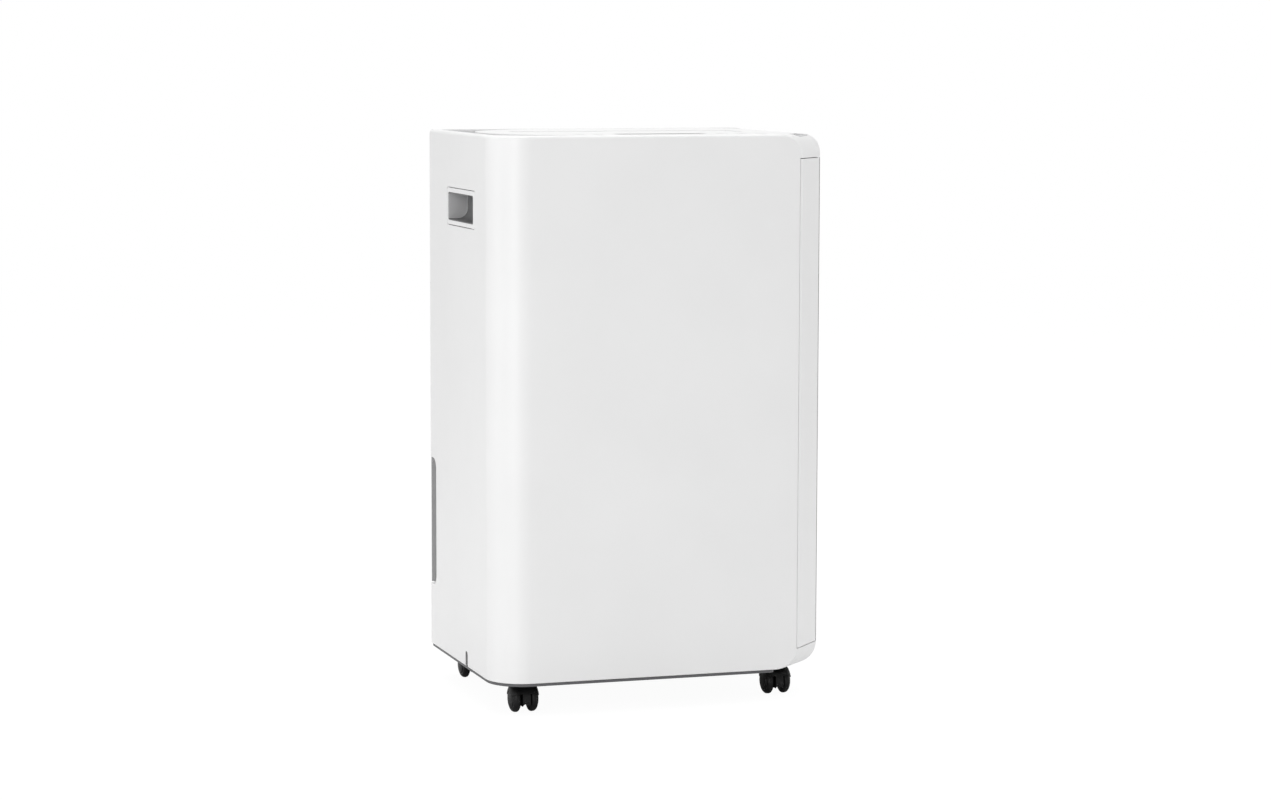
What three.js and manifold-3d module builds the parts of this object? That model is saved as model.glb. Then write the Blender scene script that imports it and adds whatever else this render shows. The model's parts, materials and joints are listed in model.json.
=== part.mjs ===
// A tall compressor dehumidifier on four twin-wheel casters, in millimetres with +Z up.
// The cabinet group measures x from the left side, y from the front face and z from the shell's
// lower edge. The exported group is centred on the floor under the middle of the whole machine.
import * as THREE from 'three';
import { mergeVertices } from 'three/addons/utils/BufferGeometryUtils.js';
import Module from 'manifold-3d';

const wasm = await Module();
wasm.setup();

// ---------- driving dimensions ----------
const WIDTH = 376;
const DEPTH = 275;
const SHELL_DEPTH = 268.5;
const SHELL_HEIGHT = 578;
const FLOOR_GAP = 35;
const WALL = 2.5;
const GAP = 0.4;
const PAST = 5; // how far a cutting tool reaches past the face that it opens

const LEFT_CORNER_RADIUS = 41;
const TOP_EDGE_BEVEL = 3.5;
const CHAMFER_START = 341;
const CHAMFER_DEPTH = 38;
const FRONT_CORNER_RADIUS = 27;
const REAR_CORNER_RADIUS = 21.5;
const CORNER_STEPS = 7;
const SIDE_PANEL_Z = [22, 552.5];
const SIDE_SEAM_X = 338.4;
const FLOOR_LIP = 1;
const FLOOR_OPENING = { right: 345, frontRight: 300 };

const HANDLE_FRAME = { y: [77.7, 193.5], z: [476.5, 518], radius: 4 };
const HANDLE_HOLE = { y: [87.7, 188.5], z: [482.7, 511.5], radius: 5 };
const HANDLE_CUP = { depth: 25, wall: 2.2, frame: 3.2, flange: 2, flangeOverlap: 3 };
const GRIP_SLOT = { y: [245, 268.5], z: [69, 212], radius: 12 };
const NOTCH = { y: [112.6, 122.6], top: 17 };

const BASE_RIM = { x: [1, 314], y: [1, 268], z: [-3.3, -GAP], rightRadius: 6, rearRadius: 3 };
const BASE_FLOOR_Z = [-1, 2.6];
const BASE_REAR_STRIP = { y: [262.4, 268.2], z: [3.2, 13] };

const TOP_OPENING = {
  left: 9, right: 361, front: 14, rear: 260, leftRadius: 34, chamferRadius: 16, rearRadius: 12,
};
const TOP_PANEL = { x: [21, 350], y: [17, 257], leftRadius: 118, rightRadius: 38 };
const TOP_PANEL_SKIRT = 564.9;
const TOP_PANEL_UNDERSIDE = SHELL_HEIGHT - 3;
const SURROUND_FLOOR = 562;
const OUTLET = { x: [64, 309], y: [97.5, 162.5] };
const OUTLET_SLOT = { count: 16, pitch: 15, width: 11, y: [100, 160] };
const FLAP = { x: [62.2, 310.8], front: 98.7, axisY: 164, axisZ: 575.2, barrel: 2.4, pin: 1.6 };
const LENS = { x: [146, 246], y: [34, 60], radius: 6 };
const BUTTON_ROW_Y = 47;
const BUTTONS = {
  button_power: 106, button_mode: 126, button_fan: 266, button_down: 288, button_up: 310,
};
const BUTTON_SIZE = [14, 8];
const KEY_FLANGE_Z = [572.8, 574.4];
const BOARD = { x: [96, 322], y: [31, 65], z: [567.8, 569.4] };
const BOARD_BOSSES = [[100, 34], [318, 34], [100, 62], [318, 62]];

const REAR_COVER = { x: [4, 372], z: [233, 571.5], y: [262, DEPTH], wall: 3, radius: 10 };
const INTAKE = { x: [34, 342], z: [262, 548], radius: 8 };
const INTAKE_ROWS = 17;
const INTAKE_BORDER = 12;
const FILTER = { y: [264.4, 267.6], border: 8, columns: 3, mesh: 1.2 };
const DRAIN = { x: 354, z: 250 };
const CORD_INLET = { x: 20, z: 250 };
const KNOB_RADIUS = 10.5;

const TANK_FRONT = { x: [4, 372], z: [16, 229], y: [246, DEPTH], wall: 3, radius: 10 };
const GRIP_RECESS = 11;
const TANK = { x: [22, 354], y: [152, 271.4], z: [20, 172], radius: 14, wall: 2.2 };
const TANK_WINDOW = { x: [176, 200], z: [48, 160] };
const LID_Z = [TANK.z[1] + GAP, TANK.z[1] + 3];
const POUR_MOUTH = { x: [40, 104], y: [224, 260], radius: 8 };
const HANDLE_PIVOT = { y: 212, z: 181, pin: 2 };
const HANDLE_REACH = 44;
const EARS_X = [[86, 92], [280, 286]];
const ARMS_X = [[79.6, 85.6], [286.4, 292.4]];
const FLOAT_PIVOT = { y: 214, z: 158, pin: 1.5 };
const FLOAT_LUGS_X = [[292, 296], [342, 346]];

const SHELF_Z = [232, 234.5];
const DRIP = [186, 236];
const BULKHEAD_Y = [141, 143.5];
const FAN = { x: 186, z: 385, y: [95, 165], wheelRadius: 84, shaft: 4 };
const SCROLL = { wide: 135, narrow: 97, steps: 18, flareLeft: 66, flareTop: 558 };
const FAN_WHEEL_Y = [104, 156];
const COMPRESSOR = { x: 122, y: 74, radius: 56, z: [10.2, 186] };
const BOTTLE_X = COMPRESSOR.x - COMPRESSOR.radius - 27;
const COIL_X = [72, 318];
const COIL_Z = [252, 540];
const COIL_STUBS_Z = [264, 520];
const COIL_STUB = { length: 12, radius: 3.6 };
const CONDENSER_Y = [172, 206];
const EVAPORATOR_Y = [214, 244];
const DRIP_TRAY = { x: [62, 330], y: [168, 252], top: 249, wall: 2 };
const SPOUT = { y: [244, 268], radius: 8, bore: 6 };

const CASTER_X = [38.75, 331];
const CASTER_Y = [39, 228];
const CASTER_TRAIL = 8;
const WHEEL = { radius: 14.6, inner: 4.6, outer: 15.9, bore: 1.8 };
const AXLE = { radius: 1.5, x: [-13.4, 13.4] };
const HOOD = { radii: [15.1, 16.4], arc: [24, 156], half: 15.4, web: 3.9 };
const STEM = { radius: 5, top: 15, clearance: 0.4, boss: 4 };

// ---------- materials ----------
const finish = (color, roughness, metalness = 0) =>
  new THREE.MeshStandardMaterial({ color, roughness, metalness });
const whitePlastic = () => finish(0xe9e9e9, 0.4);
const greyPlastic = () => finish(0xbfc0c2, 0.5);
const darkPlastic = () => finish(0x55585b, 0.55);
const blackPlastic = () => finish(0x1c1c1d, 0.45);
const clearPlastic = () => finish(0xb9c6cf, 0.2);
const darkGlass = () => finish(0x101418, 0.1);
const steel = () => finish(0x9a9da1, 0.35, 0.9);
const aluminium = () => finish(0xc4c8cc, 0.35, 0.9);
const copper = () => finish(0xb87346, 0.35, 0.9);
const galvanised = () => finish(0xa9adb0, 0.45, 0.8);

// ---------- solids ----------
function solid(geometry) {
  const bare = geometry.index ? geometry.toNonIndexed() : geometry.clone();
  bare.deleteAttribute('normal');
  bare.deleteAttribute('uv');
  const merged = mergeVertices(bare, 1e-3);
  const mesh = new wasm.Mesh({
    numProp: 3,
    vertProperties: merged.attributes.position.array,
    triVerts: new Uint32Array(merged.index.array),
  });
  return new wasm.Manifold(mesh);
}

function geometryOf(body) {
  const mesh = body.getMesh();
  const geometry = new THREE.BufferGeometry();
  geometry.setAttribute('position', new THREE.BufferAttribute(mesh.vertProperties, 3));
  geometry.setIndex(new THREE.BufferAttribute(mesh.triVerts, 1));
  const flat = geometry.toNonIndexed();
  flat.computeVertexNormals();
  return flat;
}

const join = (...bodies) => bodies.reduce((all, body) => all.add(body));
const cut = (body, ...tools) => tools.reduce((left, tool) => left.subtract(tool), body);

function box([x0, x1], [y0, y1], [z0, z1]) {
  const geometry = new THREE.BoxGeometry(x1 - x0, y1 - y0, z1 - z0);
  return solid(geometry.translate((x0 + x1) / 2, (y0 + y1) / 2, (z0 + z1) / 2));
}

// A shape in (x, y) raised along z, with an optional bevel kept inside the outline. Each arc of the
// outline takes an even number of straight steps.
function extrude(shape, length, bevel, arcSteps) {
  return new THREE.ExtrudeGeometry(shape, {
    depth: length - 2 * bevel,
    bevelEnabled: bevel > 0,
    bevelSize: bevel,
    bevelThickness: bevel,
    bevelOffset: -bevel,
    bevelSegments: 1,
    curveSegments: arcSteps / 2,
  }).translate(0, 0, bevel);
}

function prismZ(shape, [z0, z1], bevel = 0, arcSteps = 4) {
  return solid(extrude(shape, z1 - z0, bevel, arcSteps).translate(0, 0, z0));
}

// A shape in (x, z) that runs along y.
function prismY(shape, [y0, y1], bevel = 0, arcSteps = 4) {
  const geometry = extrude(shape, y1 - y0, bevel, arcSteps);
  return solid(geometry.rotateX(Math.PI / 2).translate(0, y1, 0));
}

// A shape in (y, z) that runs along x.
function prismX(shape, [x0, x1], bevel = 0, arcSteps = 4) {
  const turn = new THREE.Matrix4().makeBasis(
    new THREE.Vector3(0, 1, 0), new THREE.Vector3(0, 0, 1), new THREE.Vector3(1, 0, 0),
  );
  const geometry = extrude(shape, x1 - x0, bevel, arcSteps);
  return solid(geometry.applyMatrix4(turn).translate(x0, 0, 0));
}

// A closed outline through corner points [a, b, radius], each corner rounded to its radius.
function rounded(corners) {
  const shape = new THREE.Shape();
  corners.forEach(([x, y, radius], i) => {
    const here = new THREE.Vector2(x, y);
    const before = corners[(i + corners.length - 1) % corners.length];
    const after = corners[(i + 1) % corners.length];
    const back = new THREE.Vector2(before[0] - x, before[1] - y).normalize();
    const on = new THREE.Vector2(after[0] - x, after[1] - y).normalize();
    const half = Math.acos(THREE.MathUtils.clamp(back.dot(on), -1, 1)) / 2;
    const reach = radius / Math.tan(half);
    const start = here.clone().addScaledVector(back, reach);
    const end = here.clone().addScaledVector(on, reach);
    const middle = back.clone().add(on).normalize();
    const centre = here.clone().addScaledVector(middle, radius / Math.sin(half));
    const clockwise = back.cross(on) > 0;
    if (i === 0) shape.moveTo(start.x, start.y);
    else shape.lineTo(start.x, start.y);
    if (radius === 0) return;
    const a0 = Math.atan2(start.y - centre.y, start.x - centre.x);
    const a1 = Math.atan2(end.y - centre.y, end.x - centre.x);
    shape.absarc(centre.x, centre.y, radius, a0, a1, clockwise);
  });
  shape.closePath();
  return shape;
}

function rectangle([a0, a1], [b0, b1], radius = 0) {
  return rounded([[a0, b0, radius], [a1, b0, radius], [a1, b1, radius], [a0, b1, radius]]);
}

const grow = ([low, high], by) => [low - by, high + by];

function cylinder(axis, radius, [low, high], [a, b], segments = 16) {
  const geometry = new THREE.CylinderGeometry(radius, radius, high - low, segments);
  const middle = (low + high) / 2;
  if (axis === 'x') return solid(geometry.rotateZ(-Math.PI / 2).translate(middle, a, b));
  if (axis === 'y') return solid(geometry.translate(a, middle, b));
  return solid(geometry.rotateX(Math.PI / 2).translate(a, b, middle));
}

// A profile of [radius, height] turned about z, y or x. The profile starts and ends on the axis,
// or closes on itself.
function turned(axis, profile, [a, b], segments = 20) {
  const points = profile.map(([radius, height]) => new THREE.Vector2(radius, height));
  const geometry = new THREE.LatheGeometry(points, segments);
  if (axis === 'x') return solid(geometry.rotateZ(-Math.PI / 2).translate(0, a, b));
  if (axis === 'y') return solid(geometry.translate(a, 0, b));
  return solid(geometry.rotateX(Math.PI / 2).translate(a, b, 0));
}

function tube(points, radius, steps = 28, sides = 8) {
  const path = new THREE.CatmullRomCurve3(
    points.map((p) => new THREE.Vector3(...p)), false, 'centripetal',
  );
  const section = new THREE.Shape();
  section.absarc(0, 0, radius, 0, 2 * Math.PI, false);
  const geometry = new THREE.ExtrudeGeometry(section, {
    extrudePath: path, steps, curveSegments: sides / 2, bevelEnabled: false,
  });
  return solid(geometry);
}

// Rings with the same number of points, joined in order and capped at both ends.
function loft(rings) {
  const count = rings[0].length;
  const positions = rings.flat().flatMap((p) => [p.x, p.y, p.z]);
  const index = [];
  for (let r = 0; r < rings.length - 1; r += 1) {
    for (let i = 0; i < count; i += 1) {
      const j = (i + 1) % count;
      const [a, b] = [r * count + i, r * count + j];
      index.push(a, b + count, b, a, a + count, b + count);
    }
  }
  const cap = THREE.ShapeUtils.triangulateShape(
    rings[0].map((p) => new THREE.Vector2(p.x, p.z)), [],
  );
  const last = (rings.length - 1) * count;
  for (const [a, b, c] of cap) {
    index.push(a, b, c);
    index.push(last + a, last + c, last + b);
  }
  const geometry = new THREE.BufferGeometry();
  geometry.setAttribute('position', new THREE.Float32BufferAttribute(positions, 3));
  geometry.setIndex(index);
  return solid(geometry);
}

// ---------- cabinet form ----------
const CHAMFER_WIDTH = WIDTH - CHAMFER_START;
const CHAMFER_LENGTH = Math.hypot(CHAMFER_WIDTH, CHAMFER_DEPTH);

// Where the chamfer, moved inwards by an inset, meets a given depth or a given width.
const chamferX = (y, inset) =>
  CHAMFER_START + (CHAMFER_WIDTH * y - CHAMFER_LENGTH * inset) / CHAMFER_DEPTH;
const chamferY = (x, inset) =>
  ((x - CHAMFER_START) * CHAMFER_DEPTH + CHAMFER_LENGTH * inset) / CHAMFER_WIDTH;

// The cabinet's outer form, every face moved inwards by an inset.
function cabinetForm(inset, rear = SHELL_DEPTH) {
  const low = inset;
  const high = SHELL_HEIGHT - inset;
  const section = (right, radius) => {
    const arc = (z, from) => Array.from({ length: CORNER_STEPS + 1 }, (_, i) => {
      const angle = from + (i / CORNER_STEPS) * (Math.PI / 2);
      return [right - radius + radius * Math.cos(angle), z + radius * Math.sin(angle)];
    });
    const lower = arc(low + radius, -Math.PI / 2);
    return [[-PAST, low], ...lower, ...arc(high - radius, 0), [-PAST, high]];
  };
  const front = section(chamferX(inset, inset), FRONT_CORNER_RADIUS - inset);
  const side = section(WIDTH - inset, REAR_CORNER_RADIUS - inset);
  const at = (ring, y) => ring.map(([x, z]) => new THREE.Vector3(x, y, z));
  const form = loft([
    at(front, inset), at(side, chamferY(WIDTH - inset, inset)), at(side, rear),
  ]);
  const [right, behind] = [WIDTH + 2 * PAST, rear + 2 * PAST];
  const plan = rounded([
    [inset, inset, LEFT_CORNER_RADIUS - inset], [right, inset, 0],
    [right, behind, 0], [inset, behind, 0],
  ]);
  const bevel = inset === 0 ? TOP_EDGE_BEVEL : 0;
  return form.intersect(prismZ(plan, [-2 * PAST, high], bevel, 10));
}

// The space inside the shell, and the slightly smaller space that inner parts keep to.
const outerForm = cabinetForm(0);
const innerForm = cabinetForm(WALL, DEPTH + PAST);
const linedForm = cabinetForm(WALL + 0.6, DEPTH + PAST);

function topOpening(inset) {
  const { left, right, front, rear, leftRadius, chamferRadius, rearRadius } = TOP_OPENING;
  const rim = left + inset;
  return rounded([
    [left + inset, front + inset, leftRadius - inset],
    [chamferX(front + inset, rim), front + inset, chamferRadius - inset / 2],
    [right - inset, chamferY(right - inset, rim), chamferRadius - inset / 2],
    [right - inset, rear - inset, rearRadius - inset],
    [left + inset, rear - inset, rearRadius - inset],
  ]);
}

// The slot in a side's rear edge that gives the fingers room to pull the tank out.
function gripSlot(x) {
  const { y, z, radius } = GRIP_SLOT;
  const behind = y[1] + PAST;
  return prismX(rounded([
    [y[0], z[0], radius], [behind, z[0], 0], [behind, z[1], 0], [y[0], z[1], radius],
  ]), x);
}

const handleOpening = (x) => prismX(rectangle(HANDLE_FRAME.y, HANDLE_FRAME.z, HANDLE_FRAME.radius), x);

// ---------- shell ----------
function mainShell() {
  const through = [-PAST, PAST];
  const notchTop = (NOTCH.y[1] - NOTCH.y[0]) / 2 - 0.1;
  const notch = prismX(rounded([
    [NOTCH.y[0], -PAST, 0], [NOTCH.y[1], -PAST, 0],
    [NOTCH.y[1], NOTCH.top, notchTop], [NOTCH.y[0], NOTCH.top, notchTop],
  ]), through);
  const stem = [CASTER_X[1], CASTER_Y[0]];
  const stemHole = cylinder('z', STEM.radius + STEM.boss + 0.6, through, stem, 20);
  const top = prismZ(topOpening(0), [SHELL_HEIGHT - 2 * PAST, SHELL_HEIGHT + PAST]);
  const panelSpace = box([SIDE_SEAM_X, WIDTH + PAST], [-PAST, SHELL_DEPTH + PAST], SIDE_PANEL_Z);
  const shell = cut(outerForm, innerForm, top, panelSpace);
  return cut(
    shell, handleOpening(through), gripSlot(through), notch, floorOpening(0, through), stemHole,
  );
}

// The opening in the shell's floor that the base pan fills. It stops short of the rounded right
// corners, where the shell turns in under itself.
function floorOpening(inset, z) {
  const radius = LEFT_CORNER_RADIUS;
  const edge = WALL + FLOOR_LIP + inset;
  const x = [edge, FLOOR_OPENING.right - inset];
  const behindCorner = box(x, [radius + inset, SHELL_DEPTH + PAST], z);
  const alongFront = box([radius, FLOOR_OPENING.frontRight - inset], [edge, radius + PAST], z);
  const corner = cylinder('z', radius - edge, z, [radius, radius], 32);
  return join(behindCorner, alongFront, corner);
}

function rightSidePanel() {
  const x = [SIDE_SEAM_X + GAP, WIDTH + PAST];
  const through = [WIDTH - PAST, WIDTH + PAST];
  const space = box(x, [-PAST, SHELL_DEPTH], grow(SIDE_PANEL_Z, -GAP));
  const wall = cut(outerForm, innerForm).intersect(space);
  return cut(wall, handleOpening(through), gripSlot(through));
}

// A hand hold pushed in from inside: a frame flush with the side, a pocket and a rear flange.
function handleCup(side) {
  const span = (a, b) => (side === 'left' ? [a, b] : [WIDTH - b, WIDTH - a]);
  const { y, z, radius } = HANDLE_FRAME;
  const { depth, wall, frame: frameDepth, flange: flangeDepth, flangeOverlap } = HANDLE_CUP;
  const hole = HANDLE_HOLE;
  const behindWall = WALL + GAP;
  const frame = prismX(rectangle(grow(y, -GAP), grow(z, -GAP), radius), span(0.1, frameDepth));
  const flange = prismX(
    rectangle(grow(y, flangeOverlap), grow(z, flangeOverlap), radius),
    span(behindWall, behindWall + flangeDepth),
  );
  const pocket = prismX(
    rectangle(grow(hole.y, wall), grow(hole.z, wall), hole.radius + 2), span(behindWall, depth),
  );
  const inside = prismX(rectangle(hole.y, hole.z, hole.radius), span(-1, depth - wall));
  return cut(join(frame, flange, pocket), inside);
}

// The floor pan: a rim that shows under the shell, a floor inside it, an upstand at the rear, and
// bosses for the caster stems and the compressor's feet.
function basePan() {
  const { x: rimX, y: rimY, z: rimZ, rightRadius, rearRadius } = BASE_RIM;
  const rim = prismZ(rounded([
    [rimX[0], rimY[0], LEFT_CORNER_RADIUS - rimX[0]], [rimX[1], rimY[0], rightRadius],
    [rimX[1], rimY[1], rightRadius], [rimX[0], rimY[1], rearRadius],
  ]), rimZ);
  const floorRear = rimY[1] - 1;
  const inFront = box([0, WIDTH], [0, floorRear], [-PAST, PAST]);
  const floor = floorOpening(GAP + 0.2, BASE_FLOOR_Z).intersect(inFront);
  const strip = BASE_REAR_STRIP;
  const upstand = box(REAR_COVER.x, strip.y, strip.z).intersect(linedForm);
  const rootX = [REAR_COVER.x[0], FLOOR_OPENING.right - 1];
  const root = box(rootX, [strip.y[0], floorRear], [1, strip.z[0] + GAP]);
  let pan = join(rim, floor, upstand, root);
  for (const x of CASTER_X) {
    for (const y of CASTER_Y) {
      const boss = [rimZ[0], STEM.top + STEM.boss];
      pan = pan.add(cylinder('z', STEM.radius + STEM.boss, boss, [x, y]));
      const socket = [rimZ[0] - PAST, STEM.top + 1.4];
      pan = pan.subtract(cylinder('z', STEM.radius + STEM.clearance, socket, [x, y]));
    }
  }
  const footZ = [1, COMPRESSOR.z[0] - GAP];
  for (const place of compressorFeet()) pan = pan.add(cylinder('z', 6, footZ, place, 12));
  return pan;
}

// ---------- top ----------
function topSurround() {
  const floor = SURROUND_FLOOR;
  const underShell = SHELL_HEIGHT - WALL - GAP;
  const dish = prismZ(topOpening(GAP), [floor, SHELL_HEIGHT - 1.6]);
  const hollow = prismZ(topOpening(GAP + 2), [floor + WALL, SHELL_HEIGHT + PAST]);
  const flange = prismZ(topOpening(-4.5), [underShell - 2.7, underShell]).intersect(linedForm);
  const outlet = box(OUTLET.x, OUTLET.y, [floor - PAST, floor + PAST]);
  const bossZ = [floor + 1, BOARD.z[0] - 0.3];
  const bosses = BOARD_BOSSES.map((place) => cylinder('z', 3, bossZ, place, 8));
  return cut(join(dish, flange), hollow, outlet).add(join(...bosses));
}

function topPanelOutline(inset) {
  const { x, y, leftRadius, rightRadius } = TOP_PANEL;
  return rounded([
    [x[0] + inset, y[0] + inset, leftRadius - inset],
    [x[1] - inset, y[0] + inset, rightRadius - inset],
    [x[1] - inset, y[1] - inset, rightRadius - inset],
    [x[0] + inset, y[1] - inset, leftRadius - inset],
  ]);
}

function buttonHole(x, clearance) {
  const [length, width] = BUTTON_SIZE;
  const half = width / 2 + clearance;
  return rectangle(
    [x - length / 2 - clearance, x + length / 2 + clearance],
    [BUTTON_ROW_Y - half, BUTTON_ROW_Y + half], half - 0.1,
  );
}

// The lid over the recess: a shallow tray upside down, with holes for the lens, the keys and the
// flap, and two ears under it that hold the flap's pins.
function topPanel() {
  const under = TOP_PANEL_UNDERSIDE;
  const through = [under - PAST, SHELL_HEIGHT + PAST];
  const plate = prismZ(topPanelOutline(0), [TOP_PANEL_SKIRT, SHELL_HEIGHT], 1.2, 8);
  const hollow = prismZ(topPanelOutline(WALL), [TOP_PANEL_SKIRT - PAST, under], 0, 8);
  const lens = prismZ(rectangle(grow(LENS.x, GAP), grow(LENS.y, GAP), LENS.radius), through);
  const flapX = grow(FLAP.x, 0.7);
  const flapHole = box(flapX, [FLAP.front - 0.7, FLAP.axisY + FLAP.barrel + 0.6], through);
  const holes = Object.values(BUTTONS).map((x) => prismZ(buttonHole(x, GAP), through));
  let panel = cut(plate, hollow, lens, flapHole, ...holes);
  const earWidth = 4.6;
  const ears = [[flapX[0] - earWidth, flapX[0]], [flapX[1], flapX[1] + earWidth]];
  for (const x of ears) {
    panel = panel.add(box(x, grow([FLAP.axisY, FLAP.axisY], 5), [570, under + 1]));
  }
  const bore = cylinder('x', FLAP.pin + 0.3, grow(flapX, 3.6), [FLAP.axisY, FLAP.axisZ], 12);
  return panel.subtract(bore);
}

function displayLens() {
  const { x, y, radius } = LENS;
  const body = prismZ(rectangle(x, y, radius), [KEY_FLANGE_Z[0], SHELL_HEIGHT - 0.3]);
  const flange = prismZ(rectangle(grow(x, 2), grow(y, 2), radius + 1), KEY_FLANGE_Z);
  return join(body, flange);
}

function button(x) {
  const [low, high] = KEY_FLANGE_Z;
  const cap = prismZ(buttonHole(x, 0), [(low + high) / 2, SHELL_HEIGHT - 0.1]);
  const flange = prismZ(buttonHole(x, 1.6), KEY_FLANGE_Z, 0, 2);
  const stem = cylinder('z', 2, [BOARD.z[1] + 1.5, high - 0.5], [x, BUTTON_ROW_Y], 8);
  return join(cap, flange, stem);
}

function outletFlap() {
  const { x, front, axisY, axisZ, barrel, pin } = FLAP;
  const top = axisZ + barrel;
  const leaf = box(x, [front, axisY], [top - 2.4, top]);
  const rib = box(grow(x, -6), [front + 4, front + 6.4], [top - 5.6, top - 1]);
  const roll = cylinder('x', barrel, x, [axisY, axisZ], 16);
  const pins = cylinder('x', pin, grow(x, 3.4), [axisY, axisZ], 12);
  return join(leaf, rib, roll, pins);
}

function outletGrille() {
  const { count, pitch, width, y } = OUTLET_SLOT;
  const middle = (OUTLET.x[0] + OUTLET.x[1]) / 2;
  const low = SURROUND_FLOOR + WALL + GAP;
  const z = [low, low + 3];
  let grille = box(grow(OUTLET.x, 6), grow(OUTLET.y, 5.5), z);
  for (let i = 0; i < count; i += 1) {
    const left = middle + (i - (count - 1) / 2) * pitch - width / 2;
    grille = grille.subtract(box([left, left + width], y, grow(z, PAST)));
  }
  return grille;
}

// ---------- rear ----------
function rearCover() {
  const { x, y, z, wall, radius } = REAR_COVER;
  const through = [y[1] - PAST, y[1] + PAST];
  const outer = prismY(rectangle(x, z, radius), y, wall);
  const inside = prismY(
    rectangle(grow(x, -wall), grow(z, -wall), radius - wall), [y[0] - PAST, y[1] - wall],
  );
  const opening = prismY(rectangle(INTAKE.x, INTAKE.z, INTAKE.radius), through);
  const drain = cylinder('y', KNOB_RADIUS + 1.5, through, [DRAIN.x, DRAIN.z], 20);
  const inlet = cylinder('y', 8, through, [CORD_INLET.x, CORD_INLET.z], 16);
  return cut(outer.intersect(linedForm), inside, opening, drain, inlet);
}

function intakeGrille() {
  const fit = 0.6;
  const x = grow(INTAKE.x, -fit);
  const z = grow(INTAKE.z, -fit);
  const y = [FILTER.y[1] + GAP, DEPTH - GAP];
  const pitch = (z[1] - z[0] - 2 * INTAKE_BORDER) / INTAKE_ROWS;
  const middle = (x[0] + x[1]) / 2;
  const mullion = 4;
  const columns = [[x[0] + INTAKE_BORDER, middle - mullion], [middle + mullion, x[1] - INTAKE_BORDER]];
  let grille = prismY(rectangle(x, z, INTAKE.radius - fit), y, 0, 2);
  for (let row = 0; row < INTAKE_ROWS; row += 1) {
    const low = z[0] + INTAKE_BORDER + pitch * (row + 0.25);
    for (const column of columns) {
      grille = grille.subtract(box(column, grow(y, PAST), [low, low + pitch / 2]));
    }
  }
  return grille;
}

function airFilter() {
  const { y, border, columns, mesh } = FILTER;
  const x = grow(INTAKE.x, -5);
  const z = grow(INTAKE.z, -5);
  const pitch = (x[1] - x[0] - border) / columns;
  const middle = (y[0] + y[1]) / 2;
  let filter = box(x, y, z);
  for (let i = 0; i < columns; i += 1) {
    const left = x[0] + border + i * pitch;
    const pane = [left, left + pitch - border];
    filter = filter.subtract(box(pane, [y[0] - PAST, middle - mesh / 2], grow(z, -border)));
    filter = filter.subtract(box(pane, [middle + mesh / 2, y[1] + PAST], grow(z, -border)));
  }
  return filter;
}

function drainCap() {
  const place = [DRAIN.x, DRAIN.z];
  const head = cylinder('y', KNOB_RADIUS, [SPOUT.y[1] + GAP, DEPTH - GAP], place, 24);
  const plug = cylinder('y', SPOUT.bore - GAP, [SPOUT.y[1] - 10, SPOUT.y[1] + 2], place, 20);
  return join(head, plug);
}

function cordInlet() {
  const place = [CORD_INLET.x, CORD_INLET.z];
  const behindCover = DEPTH - REAR_COVER.wall - GAP;
  const head = cylinder('y', KNOB_RADIUS, [behindCover - 3, behindCover], place, 20);
  const neck = cylinder('y', 7.6, [behindCover - 1, DEPTH - GAP], place, 20);
  const bore = cylinder('y', 4.5, [behindCover - 2 * PAST, DEPTH + PAST], place, 16);
  return cut(join(head, neck), bore);
}

// ---------- water tank ----------
function tankFront() {
  const { x, y, z, wall, radius } = TANK_FRONT;
  const notches = (by) => {
    const reach = GRIP_RECESS + by;
    const spans = [[x[0] - PAST, x[0] + reach], [x[1] - reach, x[1] + PAST]];
    return spans.map((span) => prismY(rectangle(span, grow(GRIP_SLOT.z, by), wall), grow(y, PAST)));
  };
  const outer = cut(prismY(rectangle(x, z, radius), y, wall), ...notches(0));
  const hollow = prismY(
    rectangle(grow(x, -wall), grow(z, -wall), radius - wall), [y[0] - PAST, y[1] - wall],
  );
  const window = prismY(tankWindowOutline(0), [y[1] - PAST, y[1] + PAST]);
  return cut(outer, cut(hollow, ...notches(wall)), window);
}

function tankWindowOutline(inset) {
  const x = grow(TANK_WINDOW.x, -inset);
  return rectangle(x, grow(TANK_WINDOW.z, -inset), (x[1] - x[0]) / 2 - 0.1);
}

const tankWindow = () => prismY(tankWindowOutline(GAP), [TANK.y[1] + 0.5, DEPTH - GAP]);

function waterTank() {
  const { x, y, z, radius, wall } = TANK;
  const outer = prismZ(rectangle(x, y, radius), z);
  const inside = rectangle(grow(x, -wall), grow(y, -wall), radius - wall);
  return cut(outer, prismZ(inside, [z[0] + wall, z[1] + PAST]));
}

// The tank's lid, with ears on top for the handle's pins and lugs below for the float's pin.
function tankLid() {
  const through = grow(LID_Z, PAST);
  const plate = prismZ(rectangle(TANK.x, TANK.y, TANK.radius), LID_Z);
  const pour = prismZ(rectangle(POUR_MOUTH.x, POUR_MOUTH.y, POUR_MOUTH.radius), through, 0, 2);
  let lid = cut(plate, pour, cylinder('z', 16, through, DRIP, 20));
  const hang = (spans, pivot, z) => {
    for (const span of spans) {
      lid = lid.add(box(span, grow([pivot.y, pivot.y], 6), z));
      lid = lid.subtract(cylinder('x', pivot.pin + 0.3, grow(span, 1), [pivot.y, pivot.z], 12));
    }
  };
  hang(EARS_X, HANDLE_PIVOT, [LID_Z[1] - 1, HANDLE_PIVOT.z + 6]);
  hang(FLOAT_LUGS_X, FLOAT_PIVOT, [FLOAT_PIVOT.z - 6, LID_Z[0] + 0.6]);
  return lid;
}

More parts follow.
